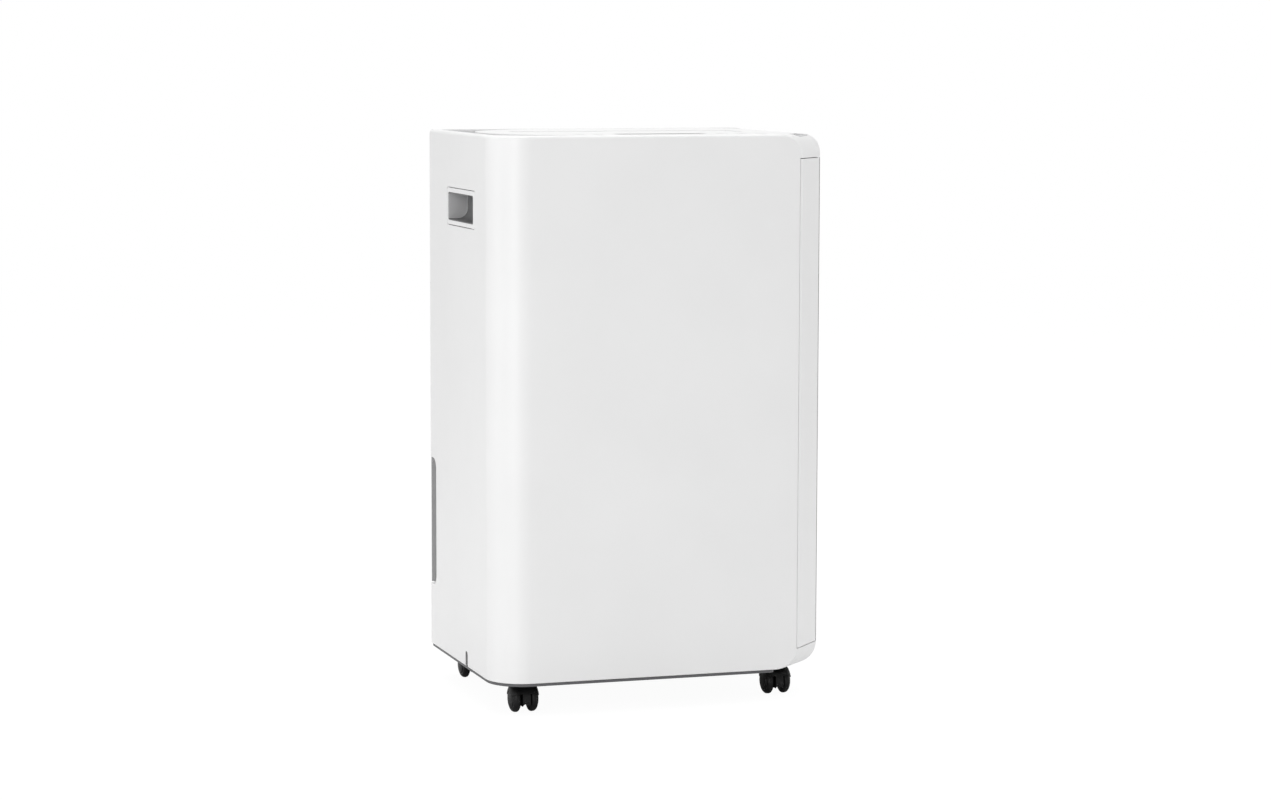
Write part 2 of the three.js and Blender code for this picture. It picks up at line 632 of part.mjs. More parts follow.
function tankHandle() {
  const { y, z, pin } = HANDLE_PIVOT;
  const half = 3.5;
  const height = [z - half, z + half];
  const end = y - HANDLE_REACH;
  const arms = ARMS_X.map((x) => join(
    box(x, [end + 4, y], height), cylinder('x', half, x, [y, z], 16),
  ));
  const bar = box([ARMS_X[0][0], ARMS_X[1][1]], [end, end + 10], height);
  const pinLength = 5.4;
  const pins = [[EARS_X[0][0] - 1, EARS_X[0][0] - 1 + pinLength],
    [EARS_X[1][1] + 1 - pinLength, EARS_X[1][1] + 1]];
  return join(bar, ...arms, ...pins.map((x) => cylinder('x', pin, x, [y, z], 12)));
}

function tankFloat() {
  const { y, z, pin } = FLOAT_PIVOT;
  const bobZ = [z - 30, z - 12];
  const bob = box([299, 339], [y - 54, y - 14], bobZ);
  const arm = box([312, 326], [y - 20, y + 2], [bobZ[1] - 6, z + 2]);
  const pinX = [FLOAT_LUGS_X[0][0] + GAP, FLOAT_LUGS_X[1][1] - GAP];
  return join(bob, arm, cylinder('x', pin, pinX, [y, z], 12));
}

// ---------- chassis and refrigeration ----------
function chassis() {
  const wall = box(REAR_COVER.x, BULKHEAD_Y, [BASE_FLOOR_Z[1] + 0.8, SHELF_Z[1]]);
  const shelf = box(REAR_COVER.x, [20, REAR_COVER.y[0] - 2], SHELF_Z);
  const through = grow(SHELF_Z, PAST);
  const pipes = box([12, 62], [60, 130], through);
  const wires = box([332, 358], [60, 100], through);
  const drip = cylinder('z', 8, through, DRIP, 16);
  return cut(join(wall, shelf).intersect(linedForm), pipes, wires, drip);
}

// Three feet round the compressor, drawn in at the back so that they clear the bulkhead.
function compressorFeet() {
  const { x, y, radius } = COMPRESSOR;
  return [90, 210, 330].map((angle) => {
    const turn = THREE.MathUtils.degToRad(angle);
    return [x + (radius + 4) * Math.cos(turn), y + (radius - 6) * Math.sin(turn)];
  });
}

// The sealed can on its feet, with the suction bottle strapped to its left side.
function compressor() {
  const { x, y, radius, z: [bottom, top] } = COMPRESSOR;
  const left = x - radius;
  const can = turned('z', [
    [0, bottom + 6], [radius - 12, bottom + 8], [radius, bottom + 24], [radius, top - 32],
    [radius - 5, top - 18], [radius - 18, top - 7], [0, top],
  ], [x, y], 20);
  const feet = compressorFeet().map((place) => cylinder('z', 14, [bottom, bottom + 3.3], place, 10));
  const plate = cylinder('z', radius - 6, [bottom, bottom + 10], [x, y], 24);
  const stub = cylinder('z', 4.5, [top - 20, top + 6], [x + 20, y], 10);
  const terminals = box([x + radius - 8, x + radius + 12], grow([y, y], 18), [110, 160]);
  const bottle = turned('z', [
    [0, 58], [10, 59], [20, 68], [20, 150], [10, 159], [4, 160], [4, 166], [0, 166],
  ], [BOTTLE_X, y], 12);
  const strap = box([left - 12, left + 6], grow([y, y], 6), [112, 124]);
  const elbow = tube([
    [BOTTLE_X, y, 62], [BOTTLE_X, y, 50], [BOTTLE_X + 9, y, 42], [left + 6, y, 42],
  ], 4, 6, 6);
  return join(can, plate, ...feet, stub, terminals, bottle, strap, elbow);
}

// A finned coil: a block of fins with return bends at both ends and two stubs at the left end.
function coil([y0, y1]) {
  const y = (y0 + y1) / 2;
  const bends = 4;
  const pitch = 60;
  const lowest = COIL_Z[0] + 54;
  const half = 12;
  const rooted = 4;
  const bend = (end, out, z) => {
    const root = end - out * rooted;
    const bulge = end + out * (half - rooted);
    return tube([
      [root, y, z - half], [end, y, z - half], [bulge, y, z], [end, y, z + half], [root, y, z + half],
    ], COIL_STUB.radius, 6, 4);
  };
  let body = box(COIL_X, [y0, y1], COIL_Z);
  for (let i = 0; i < bends; i += 1) {
    const z = lowest + i * pitch;
    body = join(body, bend(COIL_X[0], -1, z), bend(COIL_X[1], 1, z));
  }
  const stub = [COIL_X[0] - COIL_STUB.length, COIL_X[0] + 1];
  const stubs = COIL_STUBS_Z.map((z) => cylinder('x', COIL_STUB.radius, stub, [y, z], 10));
  return join(body, ...stubs);
}

const CONDENSER_MID = (CONDENSER_Y[0] + CONDENSER_Y[1]) / 2;
const EVAPORATOR_MID = (EVAPORATOR_Y[0] + EVAPORATOR_Y[1]) / 2;
const STUB_END = COIL_X[0] - COIL_STUB.length - GAP;
const [LOW_STUB_Z, HIGH_STUB_Z] = COIL_STUBS_Z;
const PIPE_RADIUS = 4;

// Hot gas from the compressor's top, through the shelf, up the left side to the condenser's top.
function dischargePipe() {
  const { x, y, z: [, top] } = COMPRESSOR;
  const start = top + 6 + GAP;
  return tube([
    [x + 20, y, start], [x + 20, y, start + 12], [128, 80, 214], [72, 98, 217], [48, 104, 226],
    [44, 106, 246], [42, 110, 300], [42, 130, 420], [42, 165, 505],
    [46, CONDENSER_MID, HIGH_STUB_Z], [STUB_END, CONDENSER_MID, HIGH_STUB_Z],
  ], PIPE_RADIUS);
}

// Cold gas from the evaporator's foot back down to the suction bottle.
function suctionPipe() {
  const { y } = COMPRESSOR;
  return tube([
    [STUB_END, EVAPORATOR_MID, LOW_STUB_Z], [48, EVAPORATOR_MID, LOW_STUB_Z], [32, 220, 270],
    [26, 196, 280], [25, 130, 278], [26, 108, 258], [28, 98, 226], [36, 80, 186],
    [BOTTLE_X, y, 172], [BOTTLE_X, y, 166.4],
  ], PIPE_RADIUS);
}

// The thin line from the condenser's foot to the evaporator's top, with its filter drier.
function capillaryTube() {
  const line = tube([
    [STUB_END, CONDENSER_MID, LOW_STUB_Z], [52, 190, 265], [48, 197, 280], [48, 200, 310],
    [49, 208, 400], [50, 222, 500], [53, EVAPORATOR_MID, HIGH_STUB_Z],
    [STUB_END, EVAPORATOR_MID, HIGH_STUB_Z],
  ], 2.2, 24, 6);
  const drier = turned('z', [
    [0, 300], [3, 302], [7, 310], [7, 350], [3, 358], [0, 360],
  ], [48.5, 202.5], 12);
  return join(line, drier);
}

function dripTray() {
  const { x, y, top, wall } = DRIP_TRAY;
  const bottom = SHELF_Z[1] + GAP;
  const outer = box(x, y, [bottom, top]);
  const inside = box(grow(x, -wall), grow(y, -wall), [bottom + wall, top + PAST]);
  const nozzle = cylinder('z', 7, [SHELF_Z[0] - 10, bottom + 0.6], DRIP, 16);
  const bore = cylinder('z', 5, [SHELF_Z[0] - 10 - PAST, bottom + PAST], DRIP, 16);
  const channelX = [x[1] - wall, DRAIN.x + 4];
  const channel = box(channelX, [236, 250], [236, DRAIN.z + 8]);
  const channelInside = box([x[1] - PAST, DRAIN.x + wall], [238, 248], [239, DRAIN.z + 5]);
  const place = [DRAIN.x, DRAIN.z];
  const spout = cylinder('y', SPOUT.radius, SPOUT.y, place, 20);
  const spoutBore = cylinder('y', SPOUT.bore, [SPOUT.y[0] - wall, SPOUT.y[1] + PAST], place, 20);
  const tray = join(cut(outer, inside), nozzle, channel, spout);
  return cut(tray, bore, channelInside, spoutBore);
}

// ---------- fan ----------
// The scroll's outline in (x, z): a spiral that opens into a throat flaring up to the outlet.
function scrollOutline(inset, top) {
  const { wide, narrow, steps, flareLeft, flareTop } = SCROLL;
  const left = flareLeft + inset * 1.2;
  const shape = new THREE.Shape();
  shape.moveTo(FAN.x + wide - inset, top);
  for (let i = 0; i <= steps; i += 1) {
    const part = i / steps;
    const radius = wide + (narrow - wide) * part - inset;
    const angle = -1.5 * Math.PI * part;
    shape.lineTo(FAN.x + radius * Math.cos(angle), FAN.z + radius * Math.sin(angle));
  }
  shape.lineTo(left, flareTop);
  shape.lineTo(left, top);
  shape.closePath();
  return shape;
}

const SCROLL_TOP = SURROUND_FLOOR - GAP;
const FAN_CENTRE = [FAN.x, FAN.z];

function fanScroll() {
  const [front, rear] = FAN.y;
  const outer = prismY(scrollOutline(0, SCROLL_TOP), FAN.y);
  const inside = prismY(scrollOutline(WALL, SCROLL_TOP + 2 * PAST), [front + WALL, rear + PAST]);
  const shaft = cylinder('y', 14, [front - PAST, front + PAST], FAN_CENTRE, 16);
  return cut(outer, inside, shaft);
}

function fanInletPlate() {
  const rear = FAN.y[1];
  const mouth = FAN.wheelRadius - 10;
  const plate = prismY(scrollOutline(0, SCROLL_TOP), [rear + GAP, rear + 2.8]);
  const lip = cylinder('y', mouth + 3, [rear - 5, rear + 1], FAN_CENTRE, 32);
  const hole = cylinder('y', mouth, [rear - 2 * PAST, rear + 2 * PAST], FAN_CENTRE, 32);
  return cut(join(plate, lip), hole);
}

function blowerWheel() {
  const [front, rear] = FAN_WHEEL_Y;
  const radius = FAN.wheelRadius;
  const disc = cylinder('y', radius, [front, front + 2.5], FAN_CENTRE, 32);
  const ring = cut(
    cylinder('y', radius, [rear - 3, rear], FAN_CENTRE, 32),
    cylinder('y', radius - 18, [rear - PAST, rear + PAST], FAN_CENTRE, 32),
  );
  let wheel = join(disc, ring, cylinder('y', 12, [front, front + 20], FAN_CENTRE, 16));
  const blades = 16;
  for (let i = 0; i < blades; i += 1) {
    const blade = new THREE.BoxGeometry(15, rear - front - 3, 1.6);
    blade.rotateY(0.6).translate(radius - 10, (front + rear) / 2, 0);
    blade.rotateY((2 * Math.PI * i) / blades).translate(FAN.x, 0, FAN.z);
    wheel = wheel.add(solid(blade));
  }
  return wheel.subtract(cylinder('y', FAN.shaft + 0.3, [front - PAST, front + 30], FAN_CENTRE, 12));
}

function fanMotor() {
  const mount = FAN.y[0] - GAP;
  const body = turned('y', [
    [0, 38], [15, 38], [16, 44], [36, 45], [42, 50], [42, 84], [48, 88], [48, mount], [0, mount],
  ], FAN_CENTRE, 24);
  return body.subtract(cylinder('y', FAN.shaft + 0.4, [58, mount + PAST], FAN_CENTRE, 12));
}

const motorShaft = () => cylinder('y', FAN.shaft, [60, FAN_WHEEL_Y[0] + 18], FAN_CENTRE, 12);

// ---------- electrics ----------
// A box open to the front, on two legs that stand on the base pan.
function electricalBox() {
  const x = [214, 330];
  const y = [24, 110];
  const z = [44, 190];
  const inside = box(grow(x, -WALL), [y[0] - PAST, y[1] - WALL], grow(z, -WALL));
  const legZ = [BASE_FLOOR_Z[1] + GAP, z[0] + 2];
  const legs = [[222, 232], [312, 322]].map((span) => box(span, [80, 100], legZ));
  return join(cut(box(x, y, z), inside), ...legs);
}

function runCapacitor() {
  const foot = SHELF_Z[1] + GAP;
  return turned('z', [
    [0, foot], [16, foot], [18, foot + 2], [18, 295], [4, 296], [4, 302], [0, 302],
  ], [288, 62], 16);
}

const controlBoard = () => box(BOARD.x, BOARD.y, BOARD.z);
const humiditySensor = () => box([346, 362], [252, 271.6], [500, 522]);
const floatSwitch = () => box([318, 340], [BULKHEAD_Y[1] + GAP, TANK.y[0] - 1.4], [144, 170]);

// ---------- casters ----------
// One wheel: a crowned outer face, a flat inner face and a blind bore for the axle.
function wheelProfile(out) {
  const { radius, inner, outer, bore } = WHEEL;
  const profile = [
    [0, AXLE.x[1] + 0.5], [bore, AXLE.x[1] + 0.5], [bore, inner], [radius - 1, inner],
    [radius, inner + 1.2], [radius, inner + 4], [radius - 1.6, outer - 3.9],
    [radius - 6, outer - 1], [0, outer],
  ];
  return out > 0 ? profile : profile.map(([r, x]) => [r, -x]).reverse();
}

// The hood over both wheels, the web between them, and the stem pressed into it.
function casterHood(direction) {
  const centre = [direction * CASTER_TRAIL, WHEEL.radius];
  const [low, high] = HOOD.radii;
  const [from, to] = HOOD.arc.map(THREE.MathUtils.degToRad);
  const arc = new THREE.Shape();
  arc.absarc(...centre, high, from, to, false);
  arc.absarc(...centre, low, to, from, true);
  const canopy = prismX(arc, [-HOOD.half, HOOD.half], 0, 6);
  const webX = [-HOOD.web, HOOD.web];
  const aboveFloor = box(webX, grow([centre[0], centre[0]], 2 * high), [7.6, FLOOR_GAP]);
  const web = cylinder('x', high, webX, centre, 16).intersect(aboveFloor);
  const collar = cylinder('z', STEM.radius + STEM.boss, [29.8, 31.2], [0, 0], 12);
  const stem = cylinder('z', STEM.radius, [28, FLOOR_GAP + STEM.top], [0, 0], 12);
  const axleHole = cylinder('x', WHEEL.bore, grow(webX, PAST), centre, 8);
  const wheelSpace = [[-FLOOR_GAP, -HOOD.web], [HOOD.web, FLOOR_GAP]];
  const spaces = wheelSpace.map((x) => cylinder('x', low, x, centre, 24));
  return cut(join(canopy, web, cut(join(collar, stem), ...spaces)), axleHole);
}

// ---------- assembly ----------
const part = new THREE.Group();
const cabinet = new THREE.Group();
cabinet.position.set(-WIDTH / 2, -DEPTH / 2, FLOOR_GAP);
part.add(cabinet);

function place(name, body, material, parent = cabinet) {
  const mesh = new THREE.Mesh(geometryOf(body), material);
  mesh.name = name;
  parent.add(mesh);
}

place('main_shell', mainShell(), whitePlastic());
place('right_side_panel', rightSidePanel(), whitePlastic());
place('left_handle_cup', handleCup('left'), greyPlastic());
place('right_handle_cup', handleCup('right'), greyPlastic());
place('base_pan', basePan(), darkPlastic());

place('top_surround', topSurround(), greyPlastic());
place('top_panel', topPanel(), whitePlastic());
place('display_lens', displayLens(), darkGlass());
place('outlet_flap', outletFlap(), whitePlastic());
place('outlet_grille', outletGrille(), darkPlastic());
for (const [name, x] of Object.entries(BUTTONS)) place(name, button(x), greyPlastic());
place('control_board', controlBoard(), finish(0x1f5f3a, 0.5));

place('rear_cover', rearCover(), whitePlastic());
place('intake_grille', intakeGrille(), whitePlastic());
place('air_filter', airFilter(), darkPlastic());
place('drain_cap', drainCap(), blackPlastic());
place('cord_inlet', cordInlet(), blackPlastic());

place('tank_front', tankFront(), whitePlastic());
place('tank_window', tankWindow(), clearPlastic());
place('water_tank', waterTank(), clearPlastic());
place('tank_lid', tankLid(), greyPlastic());
place('tank_handle', tankHandle(), greyPlastic());
place('tank_float', tankFloat(), whitePlastic());
place('float_switch', floatSwitch(), blackPlastic());

place('chassis', chassis(), galvanised());
place('compressor', compressor(), blackPlastic());
place('condenser', coil(CONDENSER_Y), aluminium());
place('evaporator', coil(EVAPORATOR_Y), aluminium());
place('discharge_pipe', dischargePipe(), copper());
place('suction_pipe', suctionPipe(), copper());
place('capillary_tube', capillaryTube(), copper());
place('drip_tray', dripTray(), darkPlastic());

place('fan_scroll', fanScroll(), darkPlastic());
place('fan_inlet_plate', fanInletPlate(), darkPlastic());
place('blower_wheel', blowerWheel(), blackPlastic());
place('motor_shaft', motorShaft(), steel());
place('fan_motor', fanMotor(), steel());

place('electrical_box', electricalBox(), darkPlastic());
place('run_capacitor', runCapacitor(), aluminium());
place('humidity_sensor', humiditySensor(), blackPlastic());

// The front left caster trails forwards and the others backwards, as they were last rolled.
const CASTERS = [
  ['front_left', CASTER_X[0], CASTER_Y[0], -1],
  ['front_right', CASTER_X[1], CASTER_Y[0], 1],
  ['rear_left', CASTER_X[0], CASTER_Y[1], 1],
  ['rear_right', CASTER_X[1], CASTER_Y[1], 1],
];
for (const [name, x, y, direction] of CASTERS) {
  const caster = new THREE.Group();
  caster.position.set(x, y, -FLOOR_GAP);
  cabinet.add(caster);
  const centre = [direction * CASTER_TRAIL, WHEEL.radius];
  place(`caster_${name}_hood`, casterHood(direction), blackPlastic(), caster);
  place(`caster_${name}_axle`, cylinder('x', AXLE.radius, AXLE.x, centre, 8), steel(), caster);
  const wheels = { left: -1, right: 1 };
  for (const [side, out] of Object.entries(wheels)) {
    const wheel = turned('x', wheelProfile(out), centre, 18);
    place(`caster_${name}_wheel_${side}`, wheel, blackPlastic(), caster);
  }
}

export default part;
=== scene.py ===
"""The looks of a tall dehumidifier on casters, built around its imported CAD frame.

Shapes are given in millimetres in the cabinet's own frame, as in the CAD model: x from the left
side, y from the front face and z from the shell's lower edge. Meshes are made in metres.
"""

import json
from math import atan2, cos, hypot, pi, radians, sin, sqrt, tan

import bmesh
import bpy
from mathutils import Matrix, Vector


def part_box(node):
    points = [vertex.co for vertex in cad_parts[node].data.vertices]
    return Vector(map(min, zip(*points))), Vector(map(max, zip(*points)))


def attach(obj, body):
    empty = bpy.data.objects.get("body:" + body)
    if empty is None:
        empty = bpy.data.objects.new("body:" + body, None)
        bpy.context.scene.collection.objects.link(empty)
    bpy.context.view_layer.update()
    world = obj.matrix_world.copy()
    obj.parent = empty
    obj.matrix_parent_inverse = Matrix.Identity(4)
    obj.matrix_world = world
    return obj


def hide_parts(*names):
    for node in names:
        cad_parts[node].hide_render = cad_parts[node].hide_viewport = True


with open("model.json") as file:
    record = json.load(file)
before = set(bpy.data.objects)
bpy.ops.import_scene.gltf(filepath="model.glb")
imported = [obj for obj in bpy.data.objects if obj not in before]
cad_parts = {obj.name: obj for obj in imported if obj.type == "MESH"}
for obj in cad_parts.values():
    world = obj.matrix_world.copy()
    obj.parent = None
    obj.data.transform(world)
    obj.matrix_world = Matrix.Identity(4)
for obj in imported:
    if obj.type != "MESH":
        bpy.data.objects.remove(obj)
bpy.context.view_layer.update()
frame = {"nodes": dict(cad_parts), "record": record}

MM = 0.001
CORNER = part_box("main_shell")[0]


def at(x, y, z):
    """A point of the cabinet, in millimetres, as a point of the frame, in metres."""
    return CORNER + Vector((x, y, z)) * MM


def node_box(name):
    """A CAD node's lowest and highest corner in the cabinet's millimetres."""
    low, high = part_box(name)
    return (low - CORNER) / MM, (high - CORNER) / MM


# ---------------- driving dimensions
WIDTH = node_box("main_shell")[1].x
SHELL_DEPTH = node_box("main_shell")[1].y
SHELL_HEIGHT = node_box("main_shell")[1].z
DEPTH = node_box("rear_cover")[1].y
WALL = 2.5
GAP = 0.4  # play between fitted parts
SEAM = 0.8  # the seams that show in the photo
PAST = 5  # how far a cutting tool reaches past what it cuts

LEFT_RADIUS = 41
TOP_ROUND = 3.5
BOTTOM_ROUND = 1.2
CHAMFER_START = 341
CHAMFER_DEPTH = 38
FRONT_RADIUS = 27
SIDE_RADIUS = 21.5
SIDE_ROUND = 7
INNER_ROUND = 0.5
SIDE_PANEL_Z = (22, 552.5)
SIDE_SEAM_X = 338.4
FLOOR_OPENING_RIGHT = 345
FLOOR_FRONT_RIGHT = 300


# ---------------- mesh tools
SAME_POINT = 2e-7  # metres


def add_object(name, data):
    made = bpy.data.objects.new(name, data)
    bpy.context.scene.collection.objects.link(made)
    return made


def mesh_object(name, points, faces):
    """A closed mesh from points in cabinet millimetres, with doubled points merged."""
    mesh = bpy.data.meshes.new(name)
    mesh.from_pydata([at(*p) for p in points], [], faces)
    build = bmesh.new()
    build.from_mesh(mesh)
    bmesh.ops.remove_doubles(build, verts=build.verts, dist=SAME_POINT)
    bmesh.ops.dissolve_degenerate(build, edges=build.edges, dist=SAME_POINT)
    bmesh.ops.recalc_face_normals(build, faces=build.faces)
    build.to_mesh(mesh)
    build.free()
    return add_object(name, mesh)


def loft(name, rings):
    """Rings with the same number of points, joined in order and capped."""
    count = len(rings[0])
    faces = []
    for r in range(len(rings) - 1):
        for i in range(count):
            j = (i + 1) % count
            low = r * count
            faces.append((low + i, low + j, low + count + j, low + count + i))
    last = (len(rings) - 1) * count
    faces.append(tuple(range(count)))
    faces.append(tuple(range(last + count - 1, last - 1, -1)))
    return mesh_object(name, [p for ring in rings for p in ring], faces)


def outline(corners, inset=0.0, steps=6):
    """A closed outline through corners (a, b, radius), moved inwards by an inset.

    Corners are listed anticlockwise. Each rounded corner takes steps + 1 points.
    """
    count = len(corners)
    lines = []
    for i in range(count):
        here, after = Vector(corners[i][:2]), Vector(corners[(i + 1) % count][:2])
        along = (after - here).normalized()
        lines.append((here + Vector((-along.y, along.x)) * inset, along))
    points = []
    for i in range(count):
        (p, before), (q, on) = lines[i - 1], lines[i]
        cross = before.x * on.y - before.y * on.x
        reach = ((q - p).x * on.y - (q - p).y * on.x) / cross
        corner = p + before * reach
        radius = corners[i][2]
        if radius == 0:
            points.append(tuple(corner))
            continue
        radius = max(radius - inset if cross > 0 else radius + inset, 0.02)
        turn = atan2(cross, before.dot(on))
        cut_back = radius * tan(abs(turn) / 2)
        start = corner - before * cut_back
        side = 1 if cross > 0 else -1
        centre = start + Vector((-before.y, before.x)) * radius * side
        spoke = start - centre
        for k in range(steps + 1):
            a = turn * k / steps
            points.append((
                centre.x + spoke.x * cos(a) - spoke.y * sin(a),
                centre.y + spoke.x * sin(a) + spoke.y * cos(a),
            ))
    return points


def rectangle(a, b, radius=0.0):
    return [(a[0], b[0], radius), (a[1], b[0], radius), (a[1], b[1], radius), (a[0], b[1], radius)]


def grow(span, by):
    return (span[0] - by, span[1] + by)


def around(middle, half):
    return (middle - half, middle + half)


def quarter(steps):
    """The angles of a quarter turn in even steps."""
    return [pi / 2 * k / steps for k in range(steps + 1)]


AXES = {
    "x": lambda a, b, h: (h, a, b),
    "y": lambda a, b, h: (a, h, b),
    "z": lambda a, b, h: (a, b, h),
}


def prism(name, axis, corners, span, low_round=0.0, high_round=0.0, steps=6, rounds=3):
    """An outline raised along an axis, with rounded rims inside the outline."""
    rings = []
    for a in quarter(rounds) if low_round else [pi / 2]:
        rings.append((low_round * (1 - sin(a)), span[0] + low_round * (1 - cos(a))))
    for a in quarter(rounds) if high_round else [0]:
        rings.append((high_round * (1 - cos(a)), span[1] - high_round * (1 - sin(a))))
    place = AXES[axis]
    return loft(name, [
        [place(a, b, h) for a, b in outline(corners, inset, steps)] for inset, h in rings
    ])


def box(name, x, y, z, edge=0.0):
    return prism(name, "z", rectangle(x, y, edge), z, edge, edge, steps=3, rounds=2)


def turned(name, axis, profile, centre, steps=48):
    """A profile of (radius, height) turned about an axis through a centre, capped at both ends."""
    place = AXES[axis]
    turns = [2 * pi * i / steps for i in range(steps)]
    rings = []
    for radius, height in profile:
        rings.append([
            place(centre[0] + radius * cos(a), centre[1] + radius * sin(a), height)
            for a in turns
        ])
    return loft(name, rings)


def cylinder(name, axis, radius, span, centre, edge=0.0, steps=48):
    profile = [(radius, span[0]), (radius, span[1])]
    if edge:
        profile = [
            (radius - edge, span[0]), (radius - edge * 0.3, span[0] + edge * 0.3),
            (radius, span[0] + edge), (radius, span[1] - edge),
            (radius - edge * 0.3, span[1] - edge * 0.3), (radius - edge, span[1]),
        ]
    return turned(name, axis, profile, centre, steps)


def apply(made):
    """Makes an object's modifiers part of its mesh."""
    evaluated = made.evaluated_get(bpy.context.evaluated_depsgraph_get())
    mesh = bpy.data.meshes.new_from_object(evaluated)
    made.modifiers.clear()
    old = made.data
    made.data = mesh
    bpy.data.meshes.remove(old)
    return made


def combine(made, tools, operation):
    for tool in tools:
        step = made.modifiers.new("combine", "BOOLEAN")
        step.solver = "EXACT"
        step.operation = operation
        step.object = tool
    apply(made)
    for tool in tools:
        bpy.data.objects.remove(tool)
    return made


def gather(first, *others):
    """One object from several, each part kept as it is."""
    build = bmesh.new()
    for made in (first, *others):
        build.from_mesh(made.data)
    build.to_mesh(first.data)
    build.free()
    for made in others:
        bpy.data.objects.remove(made)
    return first


def cut(made, *tools):
    return combine(made, tools, "DIFFERENCE")


def join(made, *others):
    return combine(made, others, "UNION")


def common(made, tool):
    return combine(made, [tool], "INTERSECT")


# ---------------- materials
GRAIN_DEPTH = 0.00002  # metres
NOISE_LOW, NOISE_HIGH = 0.3, 0.7  # most of the noise lies between
DRIFT_SCALE, GLOSS_SCALE, SPANGLE_SCALE = 9, 60, 140  # to a metre
GLOSS_SPREAD, SPANGLE_SPREAD, SPANGLE_SHADE = 0.03, 0.08, 0.86


def add_node(tree, kind, **values):
    """A new node; an input is given a value, or the output that feeds it."""
    node = tree.nodes.new("ShaderNode" + kind)
    for name, value in values.items():
        socket = node.inputs[name.replace("_", " ")]
        if isinstance(value, bpy.types.NodeSocket):
            tree.links.new(value, socket)
        else:
            socket.default_value = value
    return node


def noise(tree, place, scale):
    return add_node(tree, "TexNoise", Scale=scale, Detail=2.0, Vector=place).outputs["Fac"]


def ranged(tree, value, low, high):
    return add_node(
        tree, "MapRange", From_Min=NOISE_LOW, From_Max=NOISE_HIGH, To_Min=low, To_Max=high,
        Value=value,
    ).outputs["Result"]


def shaded(tree, colour, scale):
    """A colour times a changing scale, as the base colour."""
    shade = tree.nodes.new("ShaderNodeVectorMath")
    shade.operation = "SCALE"
    shade.inputs[0].default_value = colour
    tree.links.new(scale, shade.inputs["Scale"])
    base = tree.nodes["Principled BSDF"].inputs["Base Color"]
    tree.links.new(shade.outputs["Vector"], base)


def seen_as(tree, share, plain, glow, output):
    """Mixes a glow into a plain shader, for what the camera sees directly."""
    mix = add_node(tree, "MixShader", Fac=share)
    tree.links.new(plain, mix.inputs[1])
    tree.links.new(glow, mix.inputs[2])
    tree.links.new(mix.outputs["Shader"], tree.nodes[output].inputs["Surface"])


def new_material(name):
    """A new material with its node tree, its shader and the object's own coordinates."""
    material = bpy.data.materials.new(name)
    material.use_nodes = True
    tree = material.node_tree
    place = tree.nodes.new("ShaderNodeTexCoord").outputs["Object"]
    return material, tree, tree.nodes["Principled BSDF"], place


def moulded(
    name, colour, roughness, mottle=0.012, grain=1400, strength=0.25, stretch=None, **sockets,
):
    """A moulded or drawn surface: slight shade drift, uneven gloss and a fine grain."""
    material, tree, shader, place = new_material(name)
    for socket, value in sockets.items():
        shader.inputs[socket.replace("_", " ")].default_value = value
    if stretch:
        place = add_node(tree, "Mapping", Scale=stretch, Vector=place).outputs["Vector"]
    shaded(tree, colour, ranged(tree, noise(tree, place, DRIFT_SCALE), 1 - mottle, 1 + mottle))
    gloss = ranged(tree, noise(tree, place, GLOSS_SCALE), *around(roughness, GLOSS_SPREAD))
    tree.links.new(gloss, shader.inputs["Roughness"])
    height = noise(tree, place, grain)
    bump = add_node(tree, "Bump", Strength=strength, Distance=GRAIN_DEPTH, Height=height)
    tree.links.new(bump.outputs["Normal"], shader.inputs["Normal"])
    return material


def spangled(name, colour, roughness):
    """Zinc coated sheet: crystals a few millimetres wide, each with its own shade and gloss."""
    material, tree, shader, place = new_material(name)
    shader.inputs["Metallic"].default_value = 0.9
    cells = add_node(tree, "TexVoronoi", Scale=SPANGLE_SCALE, Vector=place)
    grey = add_node(tree, "SeparateColor", Color=cells.outputs["Color"])
    shaded(tree, colour, ranged(tree, grey.outputs["Red"], SPANGLE_SHADE, 1.0))
    gloss = ranged(tree, grey.outputs["Green"], *around(roughness, SPANGLE_SPREAD))
    tree.links.new(gloss, shader.inputs["Roughness"])
    return material


SLOTS = {
    "white_shell": moulded("white_shell_plastic", (0.80, 0.80, 0.80), 0.42),
    "grey_plastic": moulded("grey_trim_plastic", (0.52, 0.53, 0.54), 0.48),
    "dark_grey_plastic": moulded("dark_grey_base_plastic", (0.10, 0.10, 0.105), 0.5),
    "black_plastic": moulded("black_plastic", (0.02, 0.02, 0.021), 0.4),
    "caster_black": moulded(
        "caster_nylon", (0.0045, 0.0045, 0.0047), 0.45, Specular_IOR_Level=0.25,
    ),
    "tank_clear": moulded(
        "smoky_clear_plastic", (0.62, 0.70, 0.76), 0.14, strength=0.05,
        Transmission_Weight=0.9, IOR=1.49,
    ),
    "display_glass": moulded(
        "display_glass", (0.008, 0.010, 0.013), 0.09, strength=0.02, Coat_Weight=1.0,
    ),
    "axle_steel": moulded(
        "bright_steel", (0.60, 0.61, 0.63), 0.3, stretch=(0.06, 1, 1), Metallic=1.0,
    ),
    "coil_aluminium": moulded("fin_aluminium", (0.72, 0.73, 0.75), 0.34, mottle=0.04, Metallic=1.0),
    "copper_line": moulded("copper_tube", (0.70, 0.36, 0.21), 0.32, mottle=0.12, Metallic=1.0),
    "galvanised_sheet": spangled("galvanised_sheet", (0.58, 0.60, 0.61), 0.42),
    "compressor_black": moulded(
        "compressor_enamel", (0.015, 0.015, 0.016), 0.22, grain=500, strength=0.15, Coat_Weight=0.6,
    ),
    "circuit_board": moulded("circuit_board", (0.02, 0.12, 0.05), 0.35, mottle=0.25, grain=700),
}

